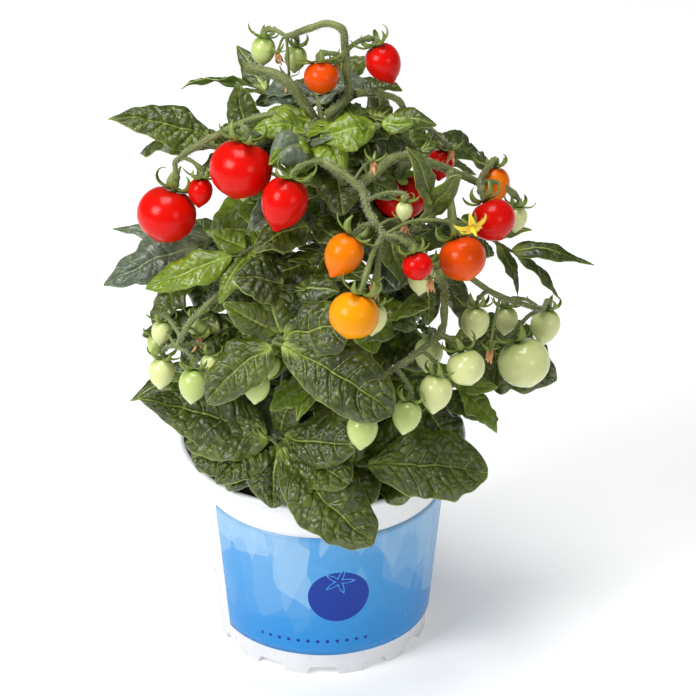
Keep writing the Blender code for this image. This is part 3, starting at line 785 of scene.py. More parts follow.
class Finish(Enum):
    """Every finish of the plant and its pot."""

    POT_WHITE = PotPlastic("pot_white", (0.80, 0.81, 0.83), (0.77, 0.78, 0.81), 0.30)
    POT_BLACK = PotPlastic("pot_black", (0.012, 0.012, 0.014), (0.025, 0.025, 0.028), 0.22)
    LABEL = LabelPrint()
    COMPOST = Compost()
    STEM = Bark("stem_skin", (0.090, 0.110, 0.024), (0.22, 0.26, 0.085), (0.040, 0.042, 0.016))
    TRUSS = Bark("truss_skin", (0.105, 0.130, 0.026), (0.26, 0.31, 0.10), (0.050, 0.050, 0.018))
    CALYX = LeafSkin("calyx_skin", (0.035, 0.065, 0.006), (0.12, 0.18, 0.020), (0.20, 0.27, 0.045),
                     0.42, 0.0001, 0.0)
    LEAF_TOP = LeafSkin("leaf_top", (0.014, 0.021, 0.002), (0.112, 0.150, 0.011),
                        (0.42, 0.52, 0.11), 0.36, 0.0006, 0.0)
    LEAF_FRESH = LeafSkin("leaf_fresh", (0.068, 0.115, 0.004), (0.21, 0.29, 0.010),
                          (0.34, 0.47, 0.09), 0.33, 0.0005, 0.0)
    # grey-green colours: painted sheen, on top of the shader's own sheen
    LEAF_SILVER = LeafSkin("leaf_silver", (0.040, 0.056, 0.028), (0.14, 0.18, 0.11),
                           (0.30, 0.36, 0.18), 0.38, 0.0006, 0.25)
    LEAF_UNDER = LeafSkin("leaf_under", (0.14, 0.22, 0.03), (0.23, 0.34, 0.05),
                          (0.38, 0.48, 0.15), 0.5, 0.0003, 0.06)
    PETAL = Petal("petal_yellow", (0.94, 0.76, 0.04), (0.90, 0.55, 0.015))
    WITHERED = Petal("withered_flower", (0.80, 0.46, 0.22), (0.55, 0.24, 0.08))
    HAIR = PlainHair()
    SKIN_RED = FruitSkin(Ripeness.RED)
    SKIN_ORANGE = FruitSkin(Ripeness.ORANGE)
    SKIN_AMBER = FruitSkin(Ripeness.AMBER)
    SKIN_YELLOW = FruitSkin(Ripeness.YELLOW)
    SKIN_CREAM = FruitSkin(Ripeness.CREAM)
    SKIN_GREEN = FruitSkin(Ripeness.GREEN)
    FLOOR = StudioFloor()

    def material(self) -> Any:
        """The finish's material, built on first use."""
        return bpy.data.materials.get(self.value.name) or self.value.build()


# =============================================================================
# Pieces
# =============================================================================
def place_piece(name: str, surface: Surface, finishes: Sequence[Finish], slot: str,
                stands_for: Sequence[str] = ()) -> Any:
    """Make a surface an object that rides on the root body.

    Args:
        name: piece name.
        surface: shape in millimetres.
        finishes: a material for each group number.
        slot: the record's material slot; not used.
        stands_for: CAD nodes it replaces.

    Returns:
        The object.
    """
    mesh = bpy.data.meshes.new(name)
    corners = [row[:3] if row[3] == row[2] else row for row in surface.faces.tolist()]
    mesh.from_pydata((surface.verts * MM).tolist(), [], corners)
    for finish in finishes:
        mesh.materials.append(finish.material())
    mesh.polygons.foreach_set("material_index", surface.group.astype(np.int32))
    loops = np.empty(len(mesh.loops), np.int32)
    mesh.loops.foreach_get("vertex_index", loops)
    mesh.uv_layers.new(name="map").data.foreach_set("uv", surface.uv[loops].ravel())
    mark = mesh.attributes.new("mark", "FLOAT_VECTOR", "POINT")
    mark.data.foreach_set("vector", surface.mark.ravel())
    tone = mesh.attributes.new("tone", "FLOAT", "POINT")
    tone.data.foreach_set("value", surface.tone)
    mesh.shade_smooth()
    mesh.validate()
    thing = bpy.data.objects.new(name, mesh)
    bpy.context.scene.collection.objects.link(thing)
    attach(thing, "root")
    if stands_for:
        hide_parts(*stands_for)
    log.info("%s: %d faces", name, len(mesh.polygons))
    return thing


# =============================================================================
# Pot, label and compost
# =============================================================================
@dataclass
class NurseryPot:
    """Pot, wrap label and compost, in millimetres."""

    notches: int = 12
    foot_height: float = 5.0
    pad_radius: float = 20.0
    sides: int = 288
    label_from: float = -60.0
    label_to: float = 250.0
    label_bottom: float = 13.0
    label_top: float = 85.0
    label_gap: float = 0.35
    label_thick: float = 0.35
    wall_foot: tuple[float, float] = (52.6, 11.6)
    wall_ledge: tuple[float, float] = (59.5, 86.0)
    soil_radius: float = 59.4
    soil_top: float = 99.0

    def inner_profile(self) -> Array:
        """Black inner side, from the floor's middle up to the top of the rolled rim.

        Returns:
            (n, 2) radius and height.
        """
        return np.array(((0.4, 6.4), (25.0, 6.4), (49.6, 6.4), (50.6, 6.9), (51.0, 8.2),
                         (54.6, 47.0), (58.2, 86.0), (59.3, 95.0), (60.4, 102.6), (61.0, 104.4),
                         (62.4, 105.8), (64.8, 107.2), (67.0, 108.3), (68.0, 108.8)))

    def outer_profile(self) -> Array:
        """White outer side, from the top of the rim down to the foot and under the floor.

        Returns:
            (n, 2) radius and height.
        """
        bend = np.linspace(math.radians(100), math.radians(-75), 9)
        roll = np.stack((68.5 + 1.5 * np.cos(bend), 107.4 + 1.55 * np.sin(bend)), -1)
        wall = ((66.6, 104.6), (63.6, 103.4), (62.2, 102.6), (61.6, 101.4), (61.3, 98.0),
                (60.7, 89.4), (60.4, 87.4), (60.1, 86.6), (59.5, 86.0), (59.3, 84.0),
                (56.0, 48.0), (52.7, 12.6), (52.3, 11.6), (51.9, 10.4), (51.6, 7.0), (51.4, 0.8),
                (50.9, 0.0), (46.6, 0.0), (46.0, 0.6), (45.2, 4.4), (44.6, 5.0),
                (self.pad_radius + 2.0, 5.0), (self.pad_radius + 1.0, 4.4),
                (self.pad_radius, 0.4), (self.pad_radius - 0.5, 0.0), (0.4, 0.0))
        return np.vstack((roll, wall))

    def cut_notches(self, verts: Array) -> Array:
        """Raise the foot ring's low points inside each notch.

        Formula: with s the share of a pitch, the notch depth goes from 0 to 1 and back as a
        clipped ramp centred on s = 0.5, and low points move up by that share of the foot.

        Args:
            verts: the turned pot.

        Returns:
            The same points with the notches cut.
        """
        angle = np.arctan2(verts[:, 0], -verts[:, 1])
        share = (angle * self.notches / math.tau + 0.5) % 1.0
        depth = np.clip((0.27 - np.abs(share - 0.5)) / 0.03, 0, 1)
        radius = np.hypot(verts[:, 0], verts[:, 1])
        foot = (radius > self.pad_radius + 12) & (verts[:, 2] < self.foot_height)
        raised = verts.copy()
        raised[:, 2] += np.where(foot, depth * (self.foot_height - 0.4 - verts[:, 2]), 0)
        return raised

    def build(self) -> None:
        """Make the pot, the label, the compost and its crumbs."""
        inner, outer = self.inner_profile(), self.outer_profile()
        shell = lathe(np.vstack((inner, outer)), self.sides)
        shell.verts = self.cut_notches(shell.verts)
        shell.group[: (len(inner) - 1) * self.sides] = 1
        pot = place_piece("nursery_pot", shell, (Finish.POT_WHITE, Finish.POT_BLACK), "pot_plastic",
                          ("pot",))
        pot.data.set_sharp_from_angle(angle=math.radians(35))
        place_piece("label_wrap", self.label(), (Finish.LABEL,), "printed_label", ("wrap_label",))
        place_piece("compost_top", self.compost(), (Finish.COMPOST,), "compost", ("compost",))
        place_piece("compost_crumbs", self.crumbs(), (Finish.COMPOST,), "compost")

    def wall_radius(self, height: Array) -> Array:
        """Outer radius of the pot's wall between the foot and the label ledge."""
        (low_radius, low), (high_radius, high) = self.wall_foot, self.wall_ledge
        return low_radius + (high_radius - low_radius) * (height - low) / (high - low)

    def label(self) -> Surface:
        """Thin closed sheet round the wall.

        Formula: point at angle a, height z and layer r is ((R(z) + r) sin a, -(R(z) + r) cos a, z).

        Returns:
            The sheet; its UV map is arc length from the front and height, in decimetres.
        """
        angle = np.radians(np.linspace(self.label_from, self.label_to, 220))
        height = np.linspace(self.label_bottom, self.label_top, 20)
        a, z = np.meshgrid(angle, height, indexing="ij")
        waves = 0.12 * ripple(np.stack((a * 55, z, 0 * z), -1), 26, 5)
        radius = self.wall_radius(z) + self.label_gap + waves
        face = np.stack((radius * np.sin(a), -radius * np.cos(a), z), -1)
        outward = np.stack((np.sin(a), -np.cos(a), 0 * a), -1)
        sheet = closed_sheet(face, outward, self.label_thick, np.zeros(face.shape), 0.5, (0, 0))
        uv = np.stack((a * 56.0, z), -1).reshape(-1, 2) / 100
        sheet.uv = np.vstack((uv, uv))
        return sheet

    def compost(self) -> Surface:
        """Root ball with an uneven top.

        Returns:
            The closed surface.
        """
        rings = np.linspace(self.soil_radius, 0.3, 34)
        top = np.stack((rings, self.soil_top + 1.4 * (1 - rings / self.soil_radius)), -1)
        profile = np.vstack(((0.3, 6.8), (50.0, 6.8), (58.6, 94.0), top))
        ball = lathe(profile, 120)
        place = ball.verts
        high = place[:, 2] > self.soil_top - 2
        lift = 1.1 * ripple(place, 14, 3) + 0.6 * ripple(place, 5, 4)
        place[:, 2] += np.where(high, lift, 0)
        return ball

    def crumbs(self, count: int = 900) -> Surface:
        """Peat crumbs on the compost: eight-faced pebbles with jittered corners.

        Args:
            count: how many.

        Returns:
            One surface with them all.
        """
        rng = np.random.default_rng(11)
        radius = (self.soil_radius - 1.5) * np.sqrt(rng.uniform(0.01, 1, count))
        angle = rng.uniform(0, math.tau, count)
        size = rng.uniform(0.4, 1.7, count) ** 1.2
        height = self.soil_top + 0.8 + 0.3 * size
        centre = np.stack((radius * np.sin(angle), -radius * np.cos(angle), height), -1)
        corners = np.vstack((np.eye(3), -np.eye(3)))
        jitter = rng.uniform(0.6, 1.3, (count, 6, 1))
        verts = centre[:, None] + corners * jitter * size[:, None, None]
        faces = np.array(((0, 1, 2), (1, 3, 2), (3, 4, 2), (4, 0, 2),
                          (1, 0, 5), (3, 1, 5), (4, 3, 5), (0, 4, 5)))
        faces = np.column_stack((faces, faces[:, 2]))
        faces = (faces[None] + 6 * np.arange(count)[:, None, None]).reshape(-1, 4)
        return Surface.of(verts.reshape(-1, 3), faces)


def closed_sheet(face: Array, normal: Array, thick: float, mark: Array, tone: float,
                 groups: tuple[int, int]) -> Surface:
    """Give a grid of points a thickness and close its edge.

    Args:
        face: (rows, columns, 3) upper face.
        normal: (rows, columns, 3) unit vectors out of that face.
        thick: thickness in millimetres, downwards.
        mark: (rows, columns, 3) marks, the same on both faces.
        tone: one number for the sheet.
        groups: material index of the upper face, and of the rest.

    Returns:
        The closed surface.
    """
    rows, columns = face.shape[:2]
    n = rows * columns
    upper = grid_faces(rows, columns)
    index = np.arange(n).reshape(rows, columns)
    rim = np.concatenate((index[0], index[1:, -1], index[-1, -2::-1], index[-2:0:-1, 0]))
    following = np.roll(rim, -1)
    edge = np.stack((rim, rim + n, following + n, following), -1)
    a, b, c = (face.reshape(-1, 3)[upper[:, k]] for k in (0, 1, 2))
    turned = np.einsum("ij,ij->i", np.cross(b - a, c - b), normal.reshape(-1, 3)[upper[:, 0]])
    if np.median(turned) < 0:
        upper, edge = upper[:, ::-1], edge[:, ::-1]
    lower = upper[:, ::-1] + n
    faces = np.concatenate((upper, lower, edge))
    verts = np.concatenate((face.reshape(-1, 3), (face - normal * thick).reshape(-1, 3)))
    sheet = Surface.of(verts, faces, mark=np.tile(mark.reshape(-1, 3), (2, 1)), tone=tone)
    sheet.group[:] = groups[1]
    sheet.group[: len(upper)] = groups[0]
    return sheet


def grid_normals(face: Array, hint: Array) -> Array:
    """Unit normals of a grid of points.

    Formula: the cross product of the differences along the rows and along the columns.

    Args:
        face: (rows, columns, 3) points.
        hint: a vector on the side that they should point to.

    Returns:
        (rows, columns, 3) normals.
    """
    normal = unit(np.cross(np.gradient(face, axis=0), np.gradient(face, axis=1)))
    flip = np.sign(np.einsum("ijk,k->ij", normal, hint).mean())
    return normal * (flip if flip else 1.0)


# =============================================================================
# Stems and hair
# =============================================================================
def fuzz(path: Array, radii: Array, count: int, reach: float, seed: int) -> Surface:
    """Fine hairs that stand off a stem: slim three-sided spikes.

    Formula: a root lies at a random share of the path and a random angle on the skin, and its
    tip is the root plus the reach times the outward direction with some scatter.

    Args:
        path: stem centre line.
        radii: stem radius along it.
        count: number of hairs.
        reach: hair length.
        seed: random seed.

    Returns:
        One surface with every hair.
    """
    rng = np.random.default_rng(seed)
    at = rng.uniform(0, len(path) - 1.001, count)
    low = at.astype(int)
    part = (at - low)[:, None]
    one, two = sideways(path)

    def between(values: Array) -> Array:
        """Values at each hair's place along the path."""
        return values[low] * (1 - part) + values[low + 1] * part

    angle = rng.uniform(0, math.tau, (count, 1))
    out = unit(between(one) * np.cos(angle) + between(two) * np.sin(angle))
    root = between(path) + out * (between(radii[:, None]) - 0.05)
    lean = unit(out + 0.35 * rng.normal(size=(count, 3)) - 0.15 * UP)
    tip = root + lean * reach * rng.uniform(0.5, 1.15, (count, 1))
    side = unit(np.cross(lean, out + 0.3 * rng.normal(size=(count, 3))))
    other = np.cross(lean, side)
    base = [root + HAIR_GIRTH * (side * math.cos(t) + other * math.sin(t))
            for t in (0.0, 2.09, 4.19)]
    verts = np.stack((*base, tip), 1)
    faces = np.array(((0, 1, 3, 3), (1, 2, 3, 3), (2, 0, 3, 3), (2, 1, 0, 0)))
    faces = (faces[None] + 4 * np.arange(count)[:, None, None]).reshape(-1, 4)
    return Surface.of(verts.reshape(-1, 3), faces)


def stem_surface(path: Array, radii: Array, sides: int, seed: int, rough: float = 0.06) -> Surface:
    """Tube with shallow ridges and an uneven girth.

    Formula: the radius is multiplied by 1 + rough (ripple of the place + 0.5 cos 5 angle).

    Args:
        path: centre line.
        radii: radius along it.
        sides: vertices in a ring.
        seed: which unevenness.
        rough: depth of the unevenness as a share of the radius.

    Returns:
        The closed tube.
    """
    body = tube(path, radii, sides, tone=(seed * 0.37) % 1.0)
    centre = body.verts.reshape(-1, sides, 3).mean(1, keepdims=True)
    offset = body.verts.reshape(-1, sides, 3) - centre
    swell = ripple(body.verts, 9.0, seed).reshape(-1, sides, 1)
    angle = body.mark[:, 1].reshape(-1, sides, 1)
    body.verts = (centre + offset * (1 + rough * (swell + 0.5 * np.cos(5 * angle)))).reshape(-1, 3)
    return body


@dataclass(frozen=True)
class Shoot:
    """A main stem or side shoot: its route with a radius at each end, and its hair."""

    node: str
    route: tuple[Point, ...]
    radii: tuple[float, ...]
    sides: int = 18
    hairs: int = 500

    def build(self, seed: int) -> Surface:
        """Make the piece and return its hair.

        Args:
            seed: which unevenness and hair.

        Returns:
            The hairs, for the plant's one hair piece.
        """
        path = curve_through(self.route, 8)
        share = np.linspace(0, len(self.radii) - 1, len(path))
        radii = np.interp(share, np.arange(len(self.radii)), self.radii)
        body = stem_surface(path, radii, self.sides, seed)
        place_piece(f"{self.node}_skin", body, (Finish.STEM,), "stem", (self.node,))
        return fuzz(path, radii, self.hairs, 1.6, seed)


# =============================================================================
# Fruit
# =============================================================================
@dataclass(frozen=True)
class Tomato:
    """One fruit: centre, diameter, direction of its stem end, outline and ripeness."""

    name: str
    centre: Point
    diameter: float
    stem_end: Point
    heart: bool
    ripeness: Ripeness
    own_node: bool = True

    @property
    def outward(self) -> Array:
        """Unit vector from the fruit towards its stalk."""
        return unit(np.array(self.stem_end))

    @property
    def length(self) -> float:
        """Length from stem end to tip."""
        return self.diameter * (1.12 if self.heart else 0.93)

    @property
    def middle(self) -> Array:
        """Centre of the fruit.

        Returns:
            The CAD node's centre where the fruit has one, or the one listed.
        """
        if self.own_node:
            low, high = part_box(self.name)
            return (np.array(low) + np.array(high)) / 2 / MM
        return np.array(self.centre, float)

    @property
    def top(self) -> Array:
        """Where the stalk meets the fruit."""
        return self.middle + self.outward * self.length * 0.5

    def axes(self) -> tuple[Array, Array]:
        """Two unit vectors square to the fruit's axis."""
        one = unit(np.cross(self.outward, (0.3, 1.0, 0.1)))
        return one, np.cross(self.outward, one)

    def skin(self, seed: int) -> Surface:
        """Fruit skin.

        Formula: at polar angle p from the stem end the radius is sin p and the height is
        (1 + cos p) / 2, with a dimple at the stem end, shallow ribs on the shoulder, and on a
        heart a slimmer lower half that ends in a small point.

        Args:
            seed: which unevenness.

        Returns:
            The closed skin; its mark's X is the share of length from the stem end.
        """
        rows, sides = (40, 56) if self.diameter > 17 else (28, 36)
        polar = np.linspace(0.015, math.pi - 0.015, rows)[:, None]
        angle = np.linspace(0, math.tau, sides, endpoint=False)[None, :]
        radius = np.sin(polar) ** 0.94 * (1 + 0 * angle)
        height = (1 + np.cos(polar)) / 2 * (1 + 0 * angle)
        height = height - 0.075 * np.exp(-(polar / 0.36) ** 2)
        radius = radius * (1 + 0.018 * np.cos(5 * angle + seed) * np.exp(-(polar / 1.1) ** 2))
        if self.heart:
            radius = radius * (1 - 0.24 * np.clip(0.75 - height, 0, 1) ** 1.3)
            height = height - 0.085 * np.exp(-((math.pi - polar) / 0.24) ** 2)
        else:
            height = height - 0.034 * np.exp(-((math.pi - polar) / 0.2) ** 2)
        one, two = self.axes()
        shape = (one * (radius * np.cos(angle))[..., None]
                 + two * (radius * np.sin(angle))[..., None])
        verts = shape * self.diameter / 2 + self.outward * ((height - 0.5) * self.length)[..., None]
        verts = verts * (1 + 0.012 * ripple(verts, self.diameter * 0.8, seed))[..., None]
        verts = (verts + self.middle).reshape(-1, 3)
        share = np.broadcast_to(polar / math.pi, radius.shape).reshape(-1)
        mark = np.stack((share, share * 0, share * 0), -1)
        faces = grid_faces(rows, sides, True)[:, ::-1]
        return Surface.of(verts, faces, mark=mark, tone=(seed * 0.31) % 1.0)

    def calyx(self, seed: int) -> Surface:
        """Green star of narrow sepals that spread over the shoulder and curl back.

        Args:
            seed: which curls.

        Returns:
            The sepals and the knob that they grow from.
        """
        rng = np.random.default_rng(seed + 900)
        count = 5 + seed % 2
        one, two = self.axes()
        size = self.diameter * rng.uniform(0.44, 0.54) + 4.2
        parts = []
        for k in range(count):
            angle = math.tau * k / count + rng.uniform(-0.2, 0.2)
            out = one * math.cos(angle) + two * math.sin(angle)
            curl = (rng.uniform(-0.35, 0.0), rng.uniform(0.9, 3.6))
            parts.append(sepal(self.top, out, self.outward, size * rng.uniform(0.85, 1.15), curl,
                               1.9 + 0.095 * self.diameter, rng))
        knob = np.array([self.top - self.outward * 1.2, self.top, self.top + self.outward * 1.0])
        parts.append(tube(knob, np.array((1.5, 1.35, 0.9)) * (0.6 + self.diameter / 50), 10))
        return Surface.join(parts)


def sepal(root: Array, out: Array, up: Array, length: float, curl: tuple[float, float],
          width: float, rng: Any, thick: float = 0.3) -> Surface:
    """Narrow pointed blade that leaves its root along one direction and curls towards another.

    Formula: the slope at share t is curl[0] + (curl[1] - curl[0]) t^1.6, the centre line is the
    running sum of cos(slope) out + sin(slope) up, and the half width is a sine of t^0.6 that
    narrows to the tip.

    Args:
        root: start of the blade.
        out, up: the two unit vectors it curls between.
        length: blade length.
        curl: slope at the root and at the tip, in radians.
        width: full width.
        rng: random generator.
        thick: thickness.

    Returns:
        The closed blade; its mark fits LeafSkin and Petal.
    """
    t = np.linspace(0, 1, 12)
    slope = curl[0] + (curl[1] - curl[0]) * t ** 1.6
    across = np.cross(up, out)
    sway = rng.uniform(-0.5, 0.5) * t ** 2
    heading = (np.cos(slope)[:, None] * out + np.sin(slope)[:, None] * up) + sway[:, None] * across
    run = np.vstack((np.zeros(3), np.cumsum(heading[:-1], axis=0)))
    line = root + out * 0.4 + run * length / 11
    lift = np.cos(slope)[:, None] * up - np.sin(slope)[:, None] * out
    half = width / 2 * np.sin(math.pi * np.clip(t, 0.03, 0.985) ** 0.6) ** 0.8 + 0.06
    v = np.linspace(-1, 1, 5)[None, :, None]
    face = line[:, None] + across * v * half[:, None, None]
    face = face + lift[:, None] * (0.35 * half[:, None, None] * np.abs(v))
    mark = np.stack(np.broadcast_arrays(t[:, None], half[:, None] * v[..., 0],
                                        half[:, None] * (1 - np.abs(v[..., 0]))), -1)
    normal = grid_normals(face, lift[0])
    return closed_sheet(face, normal, thick, mark, rng.uniform(), (0, 0))


def fruit_stalk(path: Array, fruit: Tomato, girth: float) -> tuple[Array, Array]:
    """Route and radii of the stalk from a truss to a fruit, with its swollen knuckle.

    Args:
        path: the truss's centre line.
        fruit: the fruit.
        girth: stalk radius.

    Returns:
        The stalk's points and radii.
    """
    end, outward = fruit.top, fruit.outward
    cost = np.linalg.norm(path - end, axis=1) + 0.3 * np.abs(path[:, 2] - end[2])
    cost[: len(path) // 4] += 50
    start = path[np.argmin(cost)]
    reach = float(np.linalg.norm(start - end))
    bend = (start + end) / 2 + UP * reach * 0.12 + outward * reach * 0.1
    stalk = curve_through((start, bend, end + outward * min(3.0, reach / 3), end), 6)
    share = np.linspace(0, 1, len(stalk))
    knuckle = (0.55 * np.exp(-((share - 0.55) / 0.07) ** 2)
               - 0.2 * np.exp(-((share - 0.66) / 0.05) ** 2))
    radii = girth * (1.0 + knuckle + 0.5 * np.clip(share - 0.85, 0, 1) / 0.15)
    return stalk, radii


@dataclass(frozen=True)
class Truss:
    """A fruit truss: its route, its end radii, the fruit on it and its withered flowers."""

    node: str
    route: tuple[Point, ...]
    start: float
    end: float
    fruits: tuple[Tomato, ...]
    withered: tuple[Point, ...] = ()
    hairs: int = 700
    sides: int = 14
    stalk_sides: int = 10
    stalk_hairs: int = 160

    def build(self, seed: int) -> Surface:
        """Make the stalks, the fruit and the calyces.

        Args:
            seed: which unevenness.

        Returns:
            The stalks' hair.
        """
        path = curve_through(self.route, 7)
        radii = np.linspace(self.start, self.end, len(path))
        swell = np.exp(-((np.arange(len(path)) % 14) / 3.0) ** 2)
        parts = [stem_surface(path, radii * (1 + 0.15 * swell), self.sides, seed, 0.08)]
        hair = [fuzz(path, radii, self.hairs, 1.7, seed)]
        calyces = []
        for k, fruit in enumerate(self.fruits):
            girth = self.end * (0.62 + fruit.diameter / 90)
            stalk, sizes = fruit_stalk(path, fruit, girth)
            parts.append(stem_surface(stalk, sizes, self.stalk_sides, seed + k, 0.05))
            hair.append(fuzz(stalk, sizes, self.stalk_hairs, 1.2, seed + k))
            ripe = Finish[f"SKIN_{fruit.ripeness.name}"]
            place_piece(f"{fruit.name}_skin", fruit.skin(seed + k), (ripe,), fruit.ripeness.slot,
                        (fruit.name,) if fruit.own_node else ())
            calyces.append(fruit.calyx(seed + k))
        for place in self.withered:
            end = np.array(place, float) + UP * 1.0
            start = path[np.argmin(np.linalg.norm(path - end, axis=1))]
            thread = curve_through((start, (start + end) / 2 + UP * 2.0, end), 5)
            parts.append(tube(thread, np.linspace(0.75, 0.55, len(thread)), 8))
        place_piece(f"{self.node}_skin", Surface.join(parts), (Finish.TRUSS,), "truss_stem",
                    (self.node,))
        if calyces:
            place_piece(f"{self.node}_calyces", Surface.join(calyces), (Finish.CALYX,), "leaf")
        if self.withered:
            dry = [withered_flower(np.array(place, float), seed + k)
                   for k, place in enumerate(self.withered)]
            place_piece(f"{self.node}_dry_flowers", Surface.join(dry),
                        (Finish.WITHERED, Finish.CALYX), "petal")
        return Surface.join(hair)


def withered_flower(place: Array, seed: int) -> Surface:
    """Shrivelled petals that hang together, with a few green sepals behind them.

    Args:
        place: where its base is.
        seed: which crumple.

    Returns:
        The flower; group 0 is petals, group 1 sepals.
    """
    rng = np.random.default_rng(seed + 70)
    parts = []
    for k in range(DRY_PETALS + DRY_SEPALS):
        angle = math.tau * k / DRY_PETALS + rng.uniform(-0.4, 0.4)
        out = np.array((math.cos(angle), math.sin(angle), 0.0))
        green = k >= DRY_PETALS
        curl = (0.2, rng.uniform(0.8, 1.8)) if green else (-1.3, rng.uniform(-2.1, -0.7))
        length = rng.uniform(4.5, 7.5) if green else rng.uniform(5.5, 8.0)
        blade = sepal(place, out, UP, length, curl, 1.2 if green else 1.8, rng, 0.25)
        blade.group[:] = int(green)
        if not green:
            blade.verts = blade.verts + 0.45 * np.stack(
                [ripple(blade.verts, 1.8, seed + i) for i in range(3)], -1)
        parts.append(blade)
    return Surface.join(parts)


@dataclass(frozen=True)
class OpenFlower:
    """Yellow star flower: pointed petals that turn back, and a cone of stamens."""

    facing: Point = (0.3, -0.8, -0.5)
    petals: int = 5
    stalk: tuple[Point, ...] = ((29, -72, 257), (42, -70, 263), (57, -68, 262))

    def build(self) -> None:
        """Make the petals with the cone, and the green sepals behind them."""
        rng = np.random.default_rng(5)
        low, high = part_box("open_flower")
        centre = (np.array(low) + np.array(high)) / 2 / MM
        front = unit(np.array(self.facing))
        one = unit(np.cross(front, UP))
        two = np.cross(front, one)
        petals, sepals = [], []
        for k in range(self.petals):
            angle = math.tau * k / self.petals
            out = one * math.cos(angle) + two * math.sin(angle)
            petals.append(sepal(centre, out, front, 9.0, (0.3, -1.5), 3.2, rng))
            turned = angle + math.pi / self.petals
            back = one * math.cos(turned) + two * math.sin(turned)
            sepals.append(sepal(centre - front * 0.7, back, front, 6.5, (0.0, -1.2), 1.7, rng))
        stalk = curve_through((*self.stalk, centre - front * 0.8), 6)
        sepals.append(tube(stalk, np.linspace(0.85, 0.6, len(stalk)), 8, group=1))
        cone = np.array([centre + front * s for s in (0.0, 1.2, 3.2, 5.6)])
        petals.append(tube(cone, np.array((1.3, 1.6, 1.1, 0.35)), 12))
        place_piece("flower_petals", Surface.join(petals), (Finish.PETAL,), "petal",
                    ("open_flower",))
        place_piece("flower_sepals", Surface.join(sepals), (Finish.CALYX, Finish.TRUSS), "leaf")


# =============================================================================
# Leaves
# =============================================================================
class Margin(Enum):
    """Leaflet outline: (where it is widest, fullness, tooth depth, teeth on each side)."""

    BLUNT = (1.2, 0.56, 0.025, 8)
    OVAL = (0.82, 0.74, 0.05, 6)
    LANCE = (0.66, 1.0, 0.07, 6)
    LOBED = (0.80, 0.80, 0.24, 4)


@dataclass(frozen=True)
class Leaflet:
    """One leaflet: share of the stalk it grows from, tip, full width, arch and outline."""

    share: float
    tip: Point
    width: float
    arch: float = 1.0
    margin: Margin = Margin.OVAL
    turn: float = 0.0


